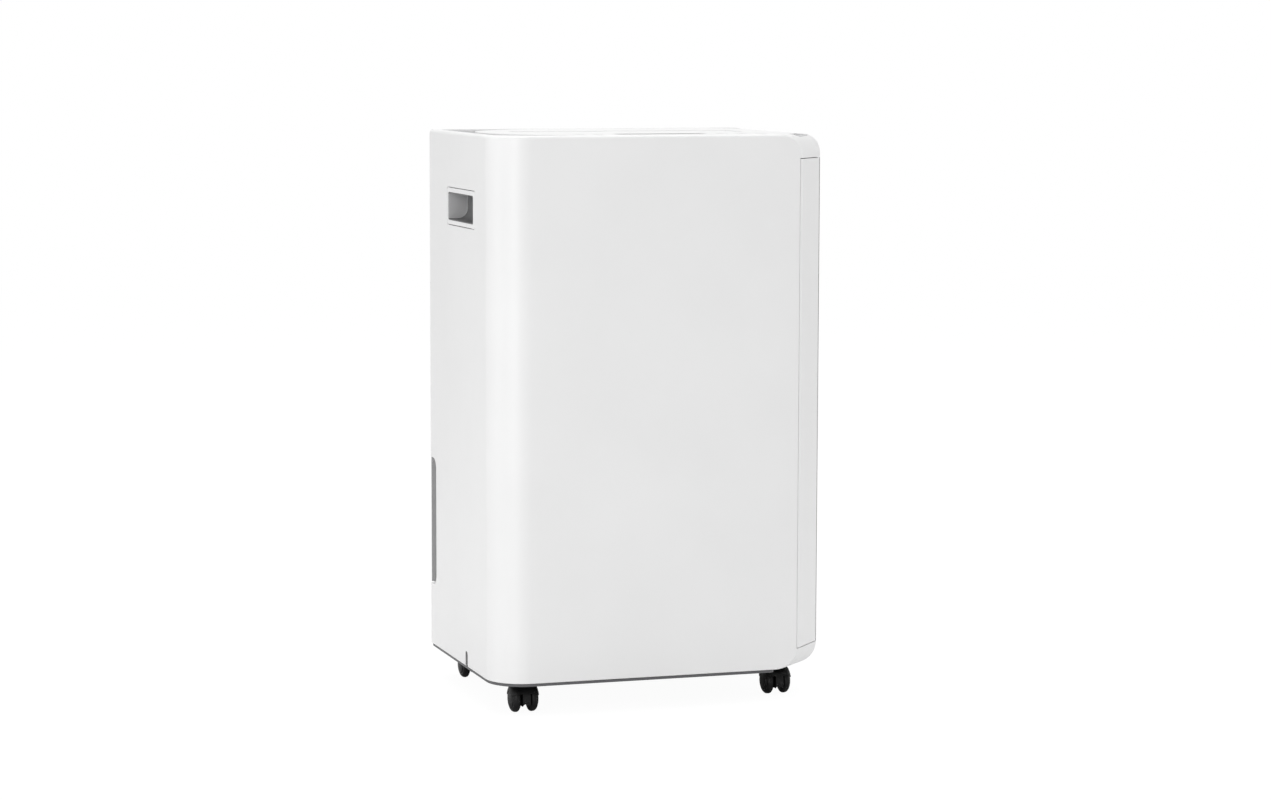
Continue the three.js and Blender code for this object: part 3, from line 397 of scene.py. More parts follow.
# Greys of single pieces, and of the hand hold's walls in three shades: painted shade, painted
# shadow and painted light.
# Painted shade: the pocket's grey plastic made darker for the shade inside it.
HAND_HOLD_PAINTED_SHADE = moulded("hand_hold_painted_shade", (0.2, 0.2, 0.203), 0.6, Specular_IOR_Level=0.15)
# Painted shadow: near black for the pocket's ceiling and for the strip at the side panel's far
# edge.
PAINTED_SHADOW_GREY = moulded("painted_shadow_grey", (0.08, 0.08, 0.081), 0.6, Specular_IOR_Level=0.1)
# Painted shade: white plastic in a grey for the shade in the tank's grip slots.
GRIP_PAINTED_SHADE = moulded("tank_grip_painted_shade", (0.37, 0.37, 0.375), 0.55)
# Grey plastic with painted light: the dish's grey made paler than the other grey parts to lighten
# its recess.
DISH_GREY_PAINTED_LIGHT = moulded("surround_dish", (0.66, 0.66, 0.665), 0.5)
# Painted light: a lighter grey for the pocket's end wall.
HAND_HOLD_PAINTED_LIGHT = moulded("hand_hold_end_painted_light", (0.5, 0.5, 0.505), 0.55)


def finish(made, body, slot, nodes, edge=0.3, sharp=35):
    """Softens the edges, smooths the curved faces, and puts the piece on its body."""
    if edge:
        bevel = made.modifiers.new("edges", "BEVEL")
        bevel.width = edge * MM
        bevel.segments = 2
        bevel.limit_method = "ANGLE"
        bevel.angle_limit = radians(sharp)
        bevel.use_clamp_overlap = True
        apply(made)
    made.data.shade_smooth()
    made.data.set_sharp_from_angle(angle=radians(sharp))
    normals = made.modifiers.new("normals", "WEIGHTED_NORMAL")
    normals.keep_sharp = True
    made.data.materials.clear()
    made.data.materials.append(SLOTS[slot])
    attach(made, body)
    if nodes:
        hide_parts(*nodes)
    return made


# ---------------- the cabinet's form
CHAMFER_WIDTH = WIDTH - CHAMFER_START
CHAMFER_LENGTH = hypot(CHAMFER_WIDTH, CHAMFER_DEPTH)


def chamfer_x(y, inset):
    """Where the chamfer, moved inwards by an inset, meets a given depth."""
    return CHAMFER_START + (CHAMFER_WIDTH * y - CHAMFER_LENGTH * inset) / CHAMFER_DEPTH


def chamfer_y(x, inset):
    """Where the chamfer, moved inwards by an inset, meets a given width."""
    return ((x - CHAMFER_START) * CHAMFER_DEPTH + CHAMFER_LENGTH * inset) / CHAMFER_WIDTH


def cabinet(name, inset=0.0, rear=SHELL_DEPTH, top_round=TOP_ROUND, bottom_round=BOTTOM_ROUND):
    """The cabinet's form with all its faces moved inwards, as slices from front to back.

    The left front edge is a large arc, the right front is a chamfer whose corners are rounded,
    and the front face's own edge is rounded all the way round.
    """
    left = LEFT_RADIUS - inset
    low, high = inset, SHELL_HEIGHT - inset
    front_radius, side_radius = FRONT_RADIUS - inset, SIDE_RADIUS - inset
    depth = chamfer_y(WIDTH - inset, inset) - inset
    front_x = chamfer_x(inset, inset) - front_radius
    shift = WIDTH - inset - side_radius - front_x
    shrink = front_radius - side_radius
    side_round = INNER_ROUND if inset else SIDE_ROUND
    bend = atan2(CHAMFER_DEPTH, CHAMFER_WIDTH)
    reach = side_round * tan((pi / 2 - bend) / 2)
    bend_start = depth - reach * sin(bend)
    bend_end = depth + reach

    def progress(t):
        """How far along the chamfer a slice is, in depth, rounded where it meets the side."""
        if t <= bend_start:
            return t
        if t >= bend_end:
            return depth
        out = sqrt(side_round ** 2 - (bend_end - t) ** 2) - side_round
        return depth + out * CHAMFER_DEPTH / CHAMFER_WIDTH

    def offset(t, angle, rounding):
        """How far the section stands out from the front face's outline."""
        c, s = cos(angle), abs(sin(angle))
        slope = (shift * c + shrink * s - shrink) / depth
        length = hypot(1, slope)
        if t < rounding * (1 - slope / length):
            return rounding * (slope - length) + sqrt(rounding ** 2 - (rounding - t) ** 2)
        return slope * progress(t)

    def corner(t, angle, rounding):
        """A point of a rounded corner's section, from the corner's centre at the front face."""
        c, s = cos(angle), sin(angle)
        ahead = progress(t) / depth
        out = (shift * c + shrink * s - shrink) * ahead
        if rounding:
            out = offset(t, angle, rounding)
        out += front_radius
        aside = (shrink * c - shift * s) * ahead
        return out * c - aside * s, out * s + aside * c

    rim_steps, arc_steps, bend_steps, corner_steps = 6, 18, 4, 12
    turns = quarter(rim_steps)
    slices = {round(top_round * (1 - cos(a)), 4) for a in turns}
    for a in quarter(arc_steps):
        t = left * (1 - cos(a))
        if t > top_round * 1.25 or a == 0:
            slices.add(round(t, 4))
    for k in range(bend_steps + 1):
        slices.add(round(bend_start + (bend_end - bend_start) * k / bend_steps, 4))
    slices.add(rear - inset)
    slices = sorted(slices)

    edge = [
        (bottom_round * (1 - sin(a)), low + bottom_round * (1 - cos(a))) for a in turns
    ]
    edge += [(top_round * (1 - cos(a)), high - top_round * (1 - sin(a))) for a in turns]

    def section(t):
        top = high + offset(t, pi / 2, top_round) if top_round else high
        bottom = low - offset(t, pi / 2, bottom_round) if bottom_round else low
        points = []
        for by, z in edge:
            if t <= by:
                points.append((left, bottom if z < high / 2 else top))
            elif t < left:
                points.append((left - sqrt((left - by) ** 2 - (left - t) ** 2), z))
            else:
                points.append((by, z))
        points = [(x + inset, z) for x, z in points]
        arcs = []
        for k in range(corner_steps + 1):
            along, up = corner(t, pi / 2 * (1 - k / corner_steps), top_round)
            arcs.append((front_x + along, high - front_radius + up))
        for k in range(corner_steps + 1):
            blend = min(1.0, 2 * (1 - k / corner_steps))
            rounding = bottom_round + (top_round - bottom_round) * blend
            along, down = corner(t, pi / 2 * k / corner_steps, rounding)
            arcs.append((front_x + along, low + front_radius - down))
        return [(x, t + inset, z) for x, z in points + arcs]

    return loft(name, [section(t) for t in slices])


# ---------------- shell and right side panel
HANDLE_FRAME = {"y": (77.7, 193.5), "z": (476.5, 518)}
HANDLE_HOLE = {"y": (87.7, 188.5), "z": (482.7, 511.5)}
HANDLE_DEPTH = 25
HANDLE_FRAME_RADIUS = 4
GRIP_SLOT = {"y": (245, 268.5), "z": (69, 212), "radius": 12}
NOTCH_Y, NOTCH_TOP, NOTCH_WALL = (112.6, 122.6), 17, 0.8
NOTCH_POCKET = {"y": (109.6, 128.6), "z": (1, 20)}
LINER_PLAY = 0.4
TOP_OPENING = {"x": (9, 361), "y": (14, 260)}
OPENING_RADII = {"left": 34, "chamfer": 16, "rear": 12}


def top_opening(inset):
    """The opening in the shell's top, which runs beside the chamfer."""
    (left, right), (front, rear) = grow(TOP_OPENING["x"], -inset), grow(TOP_OPENING["y"], -inset)
    at_chamfer, at_rear = OPENING_RADII["chamfer"] - inset / 2, OPENING_RADII["rear"] - inset
    return [
        (left, front, OPENING_RADII["left"] - inset), (chamfer_x(front, left), front, at_chamfer),
        (right, chamfer_y(right, left), at_chamfer), (right, rear, at_rear), (left, rear, at_rear),
    ]


def grip_slot(x):
    """The slot in the shell's side for the fingers, open to the rear."""
    y, z, radius = GRIP_SLOT["y"], GRIP_SLOT["z"], GRIP_SLOT["radius"]
    beyond = HOLLOW_REAR
    corners = [(y[0], z[0], radius), (beyond, z[0], 0), (beyond, z[1], 0), (y[0], z[1], radius)]
    return prism("tool", "x", corners, x, steps=10)


def handle_opening(x):
    corners = rectangle(HANDLE_FRAME["y"], HANDLE_FRAME["z"], HANDLE_FRAME_RADIUS)
    return prism("tool", "x", corners, x)


HOLLOW_REAR = SHELL_DEPTH + 20
main_shell = cabinet("main_shell_skin")
cut(main_shell, cabinet("tool", WALL, HOLLOW_REAR, 0, 0))
FLOOR_LEDGE = WALL + 1
FLOOR_RADIUS = 3
notch_round = (NOTCH_Y[1] - NOTCH_Y[0]) / 2 - 0.1


def floor_opening(inset, rear):
    """The opening in the shell's floor: it stops short of the rounded right corner."""
    low, step_y = FLOOR_LEDGE + inset, LEFT_RADIUS + inset
    step_x, right = FLOOR_FRONT_RIGHT - inset, FLOOR_OPENING_RIGHT - inset
    return [
        (low, low, LEFT_RADIUS - FLOOR_LEDGE), (step_x, low, FLOOR_RADIUS),
        (step_x, step_y, FLOOR_RADIUS), (right, step_y, FLOOR_RADIUS),
        (right, rear, 0), (low, rear, 0),
    ]


notch_corners = [
    (NOTCH_Y[0], -PAST, 0), (NOTCH_Y[1], -PAST, 0),
    (NOTCH_Y[1], NOTCH_TOP, notch_round), (NOTCH_Y[0], NOTCH_TOP, notch_round),
]
panel_space = box("tool", (SIDE_SEAM_X, WIDTH + PAST), (-PAST, SHELL_DEPTH + PAST), SIDE_PANEL_Z)
cut(
    main_shell,
    prism("tool", "z", floor_opening(0, SHELL_DEPTH + PAST), (-PAST, PAST), steps=16),
    prism("tool", "x", notch_corners, (-PAST, PAST)),
    box("tool", (NOTCH_WALL, PAST), NOTCH_POCKET["y"], NOTCH_POCKET["z"]),
    handle_opening((-PAST, PAST)),
    grip_slot((-PAST, PAST)),
    prism("tool", "z", top_opening(0), (SHELL_HEIGHT - 2 * PAST, SHELL_HEIGHT + PAST), steps=12),
    panel_space,
)
finish(main_shell, "cabinet", "white_shell", ["main_shell"])

# A thin dark strip let into the bend down the panel's far edge: a near-black sheet as painted
# shadow where the rounded edge turns from the light.
painted_shadow_strip = cabinet("side_edge_painted_shadow_strip")
cut(painted_shadow_strip, cabinet("tool", WALL, HOLLOW_REAR, 0, 0))
STRIP_BEFORE, STRIP_BEYOND, STRIP_PLAY = 2, 1.2, 0.05
strip_y = (CHAMFER_DEPTH - STRIP_BEFORE, CHAMFER_DEPTH + STRIP_BEYOND)
strip_x, panel_z = (SIDE_SEAM_X, WIDTH + PAST), grow(SIDE_PANEL_Z, -SEAM)
common(painted_shadow_strip, box("tool", strip_x, strip_y, panel_z))
finish(painted_shadow_strip, "cabinet", "grey_plastic", [], edge=0)
# Painted shadow: the strip's near-black grey.
painted_shadow_strip.data.materials[0] = PAINTED_SHADOW_GREY

side_panel = cabinet("right_side_skin")
cut(side_panel, cabinet("tool", WALL, HOLLOW_REAR, 0, 0))
common(side_panel, box(
    "tool", (SIDE_SEAM_X + GAP, WIDTH + PAST), (-PAST, SHELL_DEPTH + PAST), panel_z,
))
cut(
    side_panel,
    box("tool", strip_x, grow(strip_y, STRIP_PLAY), grow(panel_z, PAST)),
    handle_opening((WIDTH - PAST, WIDTH + PAST)),
    grip_slot((WIDTH - PAST, WIDTH + PAST)),
)
finish(side_panel, "cabinet", "white_shell", ["right_side_panel"])

# ---------------- hand holds
HANDLE_WALL = 2.2
SCOOP, POCKET_TOP_RADIUS = 12, 3
FRAME_X, SLEEVE_X = (0.1, 3.2), (0.3, 5)
LIP, LIP_PLAY, LIP_RADIUS, LIP_HOLE_RADIUS, FRAME_RADIUS = 0.7, 0.1, 2.4, 2.5, 3.6
POCKET_ROUND_OUTSIDE, POCKET_ROUND_INSIDE = 4, 1.5
END_WALL, CEILING = 1, 2  # places of the pocket's painted light (end wall) and painted shadow (ceiling)


def mirrored(span, side):
    """A span of x measured inwards from the left side, or the same from the right side."""
    return span if side == "left" else (WIDTH - span[1], WIDTH - span[0])


def scoop_corners(grown, depth, side):
    """The pocket's section in (x, z): level top and floor, and a rounded foot to its back."""
    low, high = HANDLE_HOLE["z"][0] - grown, HANDLE_HOLE["z"][1] + grown
    deep = depth + grown
    corners = [
        (-PAST, low, 0), (deep, low, SCOOP + grown),
        (deep, high, POCKET_TOP_RADIUS + grown), (-PAST, high, 0),
    ]
    if side == "right":
        corners = [(WIDTH - x, z, r) for x, z, r in reversed(corners)]
    return corners


def hand_hold(side):
    """A white frame in the shell's opening, and the grey pocket let into it, with painted shade,
    painted shadow and painted light on its walls.
    """
    hole_y, hole_z = HANDLE_HOLE["y"], HANDLE_HOLE["z"]
    frame_y, frame_z = grow(HANDLE_FRAME["y"], -SEAM), grow(HANDLE_FRAME["z"], -SEAM)
    outer = rectangle(frame_y, frame_z, FRAME_RADIUS)
    opening = rectangle(grow(hole_y, LIP + LIP_PLAY), grow(hole_z, LIP + LIP_PLAY), LIP_HOLE_RADIUS)
    face = prism(f"{side}_handle_frame", "x", outer, mirrored(FRAME_X, side))
    cut(face, prism("tool", "x", opening, mirrored((-PAST, 2 * PAST), side)))
    finish(face, "cabinet", "white_shell", [], edge=0.4)

    depth = HANDLE_DEPTH - HANDLE_WALL
    pocket = prism(
        f"{side}_handle_pocket", "y", scoop_corners(HANDLE_WALL, depth, side),
        grow(hole_y, HANDLE_WALL), POCKET_ROUND_OUTSIDE, POCKET_ROUND_OUTSIDE, steps=10,
    )
    in_front = mirrored((-3 * PAST, 3), side)
    cut(pocket, box("tool", in_front, (0, SHELL_DEPTH), grow(HANDLE_FRAME["z"], 3 * PAST)))
    sleeve = rectangle(grow(hole_y, LIP), grow(hole_z, LIP), LIP_RADIUS)
    join(pocket, prism("tool", "x", sleeve, mirrored(SLEEVE_X, side)))
    cut(pocket, prism(
        "tool", "y", scoop_corners(0, depth, side), hole_y,
        POCKET_ROUND_INSIDE, POCKET_ROUND_INSIDE, steps=10,
    ))
    finish(pocket, "cabinet", "grey_plastic", [f"{side}_handle_cup"], edge=0.15)
    # The pocket's grey plastic in a darker grey, as painted shade.
    pocket.data.materials[0] = HAND_HOLD_PAINTED_SHADE
    pocket.data.materials.append(HAND_HOLD_PAINTED_LIGHT)
    pocket.data.materials.append(PAINTED_SHADOW_GREY)
    # Faces of the end wall take painted light; faces looking down take painted shadow.
    end_y = at(0, hole_y[1] - 1, 0).y
    for face in pocket.data.polygons:
        if face.normal.y < -0.9 and face.center.y > end_y:
            face.material_index = END_WALL
        elif face.normal.z < -0.7:
            face.material_index = CEILING


for side in ("left", "right"):
    hand_hold(side)

# The thin wall at the notch is backed by a dark liner, set in a pocket on the wall's inner side.
liner_y, liner_z = grow(NOTCH_POCKET["y"], -LINER_PLAY), grow(NOTCH_POCKET["z"], -LINER_PLAY)
liner = box("side_notch_liner", (NOTCH_WALL, WALL), liner_y, liner_z, 0.3)
finish(liner, "cabinet", "black_plastic", [], edge=0)

# ---------------- base pan
BASE_RIM = {"x": (1, 314), "y": (1, 268), "z": (-3.3, -GAP)}
BASE_STRIP = {"x": (5, 371), "y": (262.4, 268.2), "z": (3.2, 13)}
STEM_RADIUS, STEM_TOP, STEM_BOSS, SOCKET_PLAY = 5, 15, 4, 1.4
BASE_RADIUS, BASE_REAR_LEFT_RADIUS = 6, 3
CASTER_X, CASTER_Y = (38.75, 331), (39, 228)
CASTER_PLACES = [(x, y) for x in CASTER_X for y in CASTER_Y]
rim_x, rim_y = BASE_RIM["x"], BASE_RIM["y"]
base_pan = prism("base_pan_rim", "z", [
    (rim_x[0], rim_y[0], LEFT_RADIUS - rim_x[0]), (rim_x[1], rim_y[0], BASE_RADIUS),
    (rim_x[1], rim_y[1], BASE_RADIUS), (rim_x[0], rim_y[1], BASE_REAR_LEFT_RADIUS),
], BASE_RIM["z"], 1.2, 0.3, steps=18)
strip = BASE_STRIP
boss_radius, boss_z = STEM_RADIUS + STEM_BOSS, (BASE_RIM["z"][0], STEM_TOP + STEM_BOSS)
socket_z = (BASE_RIM["z"][0] - PAST, STEM_TOP + SOCKET_PLAY)
join(
    base_pan,
    prism("tool", "z", floor_opening(GAP + 0.2, rim_y[1] - 1), (-1, 2.6), steps=16),
    box("tool", strip["x"], strip["y"], strip["z"], 0.6),
    box("tool", (strip["x"][0], FLOOR_OPENING_RIGHT - 1), (strip["y"][0], rim_y[1] - 1), (1, 4)),
    *[cylinder("tool", "z", boss_radius, boss_z, place, 0.5) for place in CASTER_PLACES],
)
cut(base_pan, *[
    cylinder("tool", "z", STEM_RADIUS + GAP, socket_z, place) for place in CASTER_PLACES
])
finish(base_pan, "cabinet", "dark_grey_plastic", ["base_pan"])

# ---------------- top
TOP_PANEL = {"x": (21, 350), "y": (17, 257), "left": 118, "right": 38}
TOP_PANEL_Z = (564.9, SHELL_HEIGHT)
PANEL_THICK = 3
SURROUND_Z = (562, SHELL_HEIGHT - 1.6)
SURROUND_WALL = 2
OUTLET = {"x": (64, 309), "y": (97.5, 162.5)}
FLAP = {"x": (62.2, 310.8), "front": 98.7, "axis": (164, 575.2), "barrel": 2.4, "pin": 1.6}
LENS = {"x": (146, 246), "y": (34, 60)}
LENS_RADIUS = 6
BUTTONS = {"power": 106, "mode": 126, "fan": 266, "down": 288, "up": 310}
BUTTON_ROW = 47
BUTTON_SIZE = (14, 8)
KEY_FLANGE_Z = (572.8, 574.4)
BOARD_TOP = 569.4
UNDER_SHELL = SHELL_HEIGHT - WALL - GAP


def outlet_tool():
    return box("tool", OUTLET["x"], OUTLET["y"], grow(SURROUND_Z, PAST))


surround = prism("top_surround_dish", "z", top_opening(GAP), SURROUND_Z, 1, 0.7, steps=12)
flange = prism("tool", "z", top_opening(-4.5), (UNDER_SHELL - 2.7, UNDER_SHELL), steps=12)
common(flange, cabinet("tool", WALL + 0.6, SHELL_DEPTH + PAST, 0, 0))
hollow = prism(
    "tool", "z", top_opening(GAP + SURROUND_WALL), (SURROUND_Z[0] + WALL, SHELL_HEIGHT + PAST),
    1, 0, steps=12,
)
join(surround, flange)
cut(surround, hollow, outlet_tool())
finish(surround, "cabinet", "grey_plastic", ["top_surround"], edge=0.2)
# The dish's grey plastic, made paler as painted light in its recess.
surround.data.materials[0] = DISH_GREY_PAINTED_LIGHT


def panel_outline(inset):
    x, y = grow(TOP_PANEL["x"], -inset), grow(TOP_PANEL["y"], -inset)
    left, right = TOP_PANEL["left"] - inset, TOP_PANEL["right"] - inset
    return [(x[0], y[0], left), (x[1], y[0], right), (x[1], y[1], right), (x[0], y[1], left)]


def key_outline(x, clearance):
    length, width = BUTTON_SIZE
    half = width / 2 + clearance
    reach = length / 2 + clearance
    return rectangle((x - reach, x + reach), (BUTTON_ROW - half, BUTTON_ROW + half), half - 0.1)


panel = prism("top_panel_lid", "z", panel_outline(0), TOP_PANEL_Z, 0.3, 0.4, steps=28, rounds=2)
through = (SHELL_HEIGHT - 2 * PAST, SHELL_HEIGHT + PAST)
under = SHELL_HEIGHT - PANEL_THICK
axis_y, axis_z = FLAP["axis"]
flap_space = grow(FLAP["x"], 0.7)
cut(
    panel,
    prism("tool", "z", panel_outline(WALL), (TOP_PANEL_Z[0] - PAST, under), steps=28),
    prism("tool", "z", rectangle(grow(LENS["x"], GAP), grow(LENS["y"], GAP), LENS_RADIUS), through),
    box("tool", flap_space, (FLAP["front"] - 0.7, axis_y + FLAP["barrel"] + 0.6), through),
    *[prism("tool", "z", key_outline(x, GAP), through) for x in BUTTONS.values()],
)
EAR = 4.6
ears = [(flap_space[0] - EAR, flap_space[0]), (flap_space[1], flap_space[1] + EAR)]
join(panel, *[box("tool", x, around(axis_y, 5), (570, under + 1), 0.5) for x in ears])
cut(panel, cylinder("tool", "x", FLAP["pin"] + 0.3, grow(flap_space, 3.6), FLAP["axis"]))
finish(panel, "cabinet", "white_shell", ["top_panel"], edge=0.35)

lens = prism(
    "display_window", "z", rectangle(LENS["x"], LENS["y"], LENS_RADIUS),
    (KEY_FLANGE_Z[0], SHELL_HEIGHT - 0.3), 0, 0.5,
)
join(lens, prism(
    "tool", "z", rectangle(grow(LENS["x"], 2), grow(LENS["y"], 2), LENS_RADIUS + 1), KEY_FLANGE_Z,
))
finish(lens, "cabinet", "display_glass", ["display_lens"], edge=0.15)


def ring(name, axis, radii, span, centre):
    return cut(
        cylinder(name, axis, radii[1], span, centre),
        cylinder("tool", axis, radii[0], grow(span, PAST), centre),
    )


def key_mark(key, x):
    """The generic mark raised on a key: a ring, a drop, three dots or an arrow head."""
    z = (SHELL_HEIGHT - 0.7, SHELL_HEIGHT - 0.15)
    y = BUTTON_ROW
    if key == "power":
        return [ring("tool", "z", (1.5, 2.2), z, (x, y))]
    if key == "mode":
        drop = [(x, y - 2.4, 1.4), (x + 1.8, y + 0.2, 1), (x, y + 2.6, 0.1), (x - 1.8, y + 0.2, 1)]
        return [prism("tool", "z", drop, z)]
    if key == "fan":
        turns = [radians(90 + 120 * k) for k in range(3)]
        places = [(x + 1.5 * cos(a), y + 1.5 * sin(a)) for a in turns]
        return [cylinder("tool", "z", 0.95, z, place) for place in places]
    tip = 1.5 if key == "up" else -1.5
    corners = [(x - tip * 1.3, y - tip, 0.2), (x + tip * 1.3, y - tip, 0.2), (x, y + tip, 0.2)]
    return [prism("tool", "z", corners, z)]


for key, x in BUTTONS.items():
    cap = prism(
        f"key_{key}", "z", key_outline(x, 0), (KEY_FLANGE_Z[0] + 0.8, SHELL_HEIGHT - 0.4), 0, 0.9,
    )
    join(
        cap,
        prism("tool", "z", key_outline(x, 1.6), KEY_FLANGE_Z),
        cylinder("tool", "z", 2, (BOARD_TOP + 1.5, KEY_FLANGE_Z[1]), (x, BUTTON_ROW), steps=16),
        *key_mark(key, x),
    )
    finish(cap, f"{key}_key", "grey_plastic", [f"button_{key}"], edge=0.1)

flap = box("outlet_flap_leaf", FLAP["x"], (FLAP["front"], axis_y), (axis_z, axis_z + 2.4), 0.9)
join(
    flap,
    box("tool", grow(FLAP["x"], -6), (FLAP["front"] + 4, FLAP["front"] + 6.4), (572, 576.6), 0.4),
    cylinder("tool", "x", FLAP["barrel"], FLAP["x"], FLAP["axis"]),
    cylinder("tool", "x", FLAP["pin"], grow(FLAP["x"], 3.4), FLAP["axis"], 0.3),
)
finish(flap, "flap", "white_shell", ["outlet_flap"], edge=0.15)

GRILLE_Z = (SURROUND_Z[0] + WALL + GAP, SURROUND_Z[0] + WALL + GAP + 3)
SLOTS_ACROSS, SLOT_PITCH, SLOT_WIDTH, SLOT_Y = 32, 7.5, 5.2, (100, 160)
grille = box("outlet_louvres", grow(OUTLET["x"], 6), grow(OUTLET["y"], 5.5), GRILLE_Z, 0.4)
middle = sum(OUTLET["x"]) / 2
slots = []
for i in range(SLOTS_ACROSS):
    x = middle + (i - (SLOTS_ACROSS - 1) / 2) * SLOT_PITCH
    corners = rectangle((x - SLOT_WIDTH / 2, x + SLOT_WIDTH / 2), SLOT_Y, SLOT_WIDTH / 2 - 0.1)
    slots.append(prism("tool", "z", corners, grow(GRILLE_Z, PAST), steps=3))
cut(grille, gather(*slots))
finish(grille, "cabinet", "dark_grey_plastic", ["outlet_grille"], edge=0.3)

# ---------------- rear
REAR_COVER = {"x": (4, 372), "y": (262, DEPTH), "z": (233, 571.5)}
COVER_WALL, COVER_RADIUS, COVER_TOP_RIGHT = 3, 10, 20
INTAKE = {"x": (34, 342), "z": (262, 548)}
INTAKE_RADIUS = 8
INTAKE_BORDER, INTAKE_ROWS, MULLION = 12, 34, 4
FILTER_Y = (264.4, 267.6)
DRAIN, CORD_INLET = (354, 250), (20, 250)
KNOB_RADIUS = 10.5
SCREWS = [(17, 400), (357, 400), (17, 556), (186, 560), (186, 246), (352, 552)]


def cover_outline(inset):
    x, z = grow(REAR_COVER["x"], -inset), grow(REAR_COVER["z"], -inset)
    small, large = COVER_RADIUS - inset, COVER_TOP_RIGHT - inset
    return [(x[0], z[0], small), (x[1], z[0], small), (x[1], z[1], large), (x[0], z[1], small)]


rear_cover = prism(
    "rear_cover_shell", "y", cover_outline(0), REAR_COVER["y"], 0.4, 3, steps=8, rounds=5,
)
rear = REAR_COVER["y"][1]
cover_inside = (REAR_COVER["y"][0] - PAST, rear - COVER_WALL)
through = around(rear, PAST)
cut(
    rear_cover,
    prism("tool", "y", cover_outline(COVER_WALL), cover_inside, steps=8),
    prism("tool", "y", rectangle(INTAKE["x"], INTAKE["z"], INTAKE_RADIUS), through),
    cylinder("tool", "y", KNOB_RADIUS + 1.5, through, DRAIN),
    cylinder("tool", "y", 8, through, CORD_INLET),
    gather(*[cylinder("tool", "y", 4.4, (rear - 1.8, rear + PAST), place) for place in SCREWS]),
)
finish(rear_cover, "cabinet", "white_shell", ["rear_cover"], edge=0.5)

heads = []
head_profile = [(3.8, rear - 1.7), (3.8, rear - 1.2), (3.2, rear - 0.7), (1.8, rear - 0.35)]
bars = [(3.6, 0.7), (0.7, 3.6)]
for place in SCREWS:
    head = turned("tool", "y", head_profile, place, steps=24)
    heads.append(cut(head, *[
        box("tool", around(place[0], a / 2), (rear - 1.1, rear), around(place[1], b / 2))
        for a, b in bars
    ]))
screws = gather(*heads)
screws.name = "rear_cover_screws"
finish(screws, "cabinet", "axle_steel", [], edge=0)

intake_x, intake_z = grow(INTAKE["x"], -0.6), grow(INTAKE["z"], -0.6)
intake_y = (FILTER_Y[1] + GAP, rear - GAP)
intake = prism(
    "intake_louvres", "y", rectangle(intake_x, intake_z, INTAKE_RADIUS - 0.6), intake_y, 0, 0.8,
)
centre = sum(intake_x) / 2
columns = [
    (intake_x[0] + INTAKE_BORDER, centre - MULLION),
    (centre + MULLION, intake_x[1] - INTAKE_BORDER),
]
open_z = grow(intake_z, -INTAKE_BORDER)
cut(intake, *[prism("tool", "y", rectangle(x, open_z, 3), grow(intake_y, PAST)) for x in columns])
louvre_pitch = (open_z[1] - open_z[0]) / INTAKE_ROWS
LOUVRE_RISE, LOUVRE_HALF = 2.6, 0.75
louvres = []
for row in range(INTAKE_ROWS):
    z = open_z[0] + louvre_pitch * (row + 0.5)
    low, high = z - LOUVRE_RISE, z + LOUVRE_RISE
    front, back = intake_y[0] + 0.3, intake_y[1] - 0.7
    section = [
        (back, low - LOUVRE_HALF, 0.3), (back, low + LOUVRE_HALF, 0.3),
        (front, high + LOUVRE_HALF, 0.3), (front, high - LOUVRE_HALF, 0.3),
    ]
    louvres += [prism("tool", "x", section, grow(x, 1), steps=2) for x in columns]
join(intake, gather(*louvres))
finish(intake, "filter_unit", "white_shell", ["intake_grille"], edge=0.2)

filter_x, filter_z = grow(INTAKE["x"], -5), grow(INTAKE["z"], -5)
FILTER_BORDER, FILTER_COLUMNS = 8, 3
pane_pitch = (filter_x[1] - filter_x[0] - FILTER_BORDER) / FILTER_COLUMNS
filter_frame = box("air_filter_frame", filter_x, FILTER_Y, filter_z, 0.5)
panes = []
for i in range(FILTER_COLUMNS):
    left = filter_x[0] + FILTER_BORDER + i * pane_pitch
    pane = (left, left + pane_pitch - FILTER_BORDER)
    corners = rectangle(pane, grow(filter_z, -FILTER_BORDER), 3)
    panes.append(prism("tool", "y", corners, grow(FILTER_Y, PAST)))
cut(filter_frame, *panes)
finish(filter_frame, "filter_unit", "dark_grey_plastic", ["air_filter"])

WIRE, WIRE_PITCH = 0.45, 3.6
wire_y = sum(FILTER_Y) / 2
wires = []
across, upward = grow(filter_x, 1 - FILTER_BORDER), grow(filter_z, 1 - FILTER_BORDER)
for k in range(1, int((across[1] - across[0]) / WIRE_PITCH)):
    x = across[0] + k * WIRE_PITCH
    wires.append(box("tool", (x, x + WIRE), (wire_y - WIRE, wire_y), upward))
for k in range(1, int((upward[1] - upward[0]) / WIRE_PITCH)):
    z = upward[0] + k * WIRE_PITCH
    wires.append(box("tool", across, (wire_y + 0.01, wire_y + WIRE), (z, z + WIRE)))
filter_mesh = gather(*wires)
filter_mesh.name = "air_filter_mesh"
finish(filter_mesh, "filter_unit", "dark_grey_plastic", [], edge=0)

SPOUT_END, SPOUT_BORE = 268, 6
knob_y = (SPOUT_END + GAP, rear - GAP)
LOBES, LOBE_DEPTH, KNOB_GRIP = 16, 0.45, {"length": 7.5, "half": 1.6}


def knurled(name, radius, span, place):
    """A round knob with shallow flutes round its rim and a rounded outer edge."""
    steps = LOBES * 6
    low, high = span
    rings = []
    for inset, y in [(0.6, low), (0, low + 0.6), (0, high - 1), (0.3, high - 0.4), (1, high)]:
        points = []
        for i in range(steps):
            a = 2 * pi * i / steps
            r = radius - inset - LOBE_DEPTH * (0.5 - 0.5 * cos(LOBES * a))
            points.append((place[0] + r * cos(a), y, place[1] + r * sin(a)))
        rings.append(points)
    return loft(name, rings)


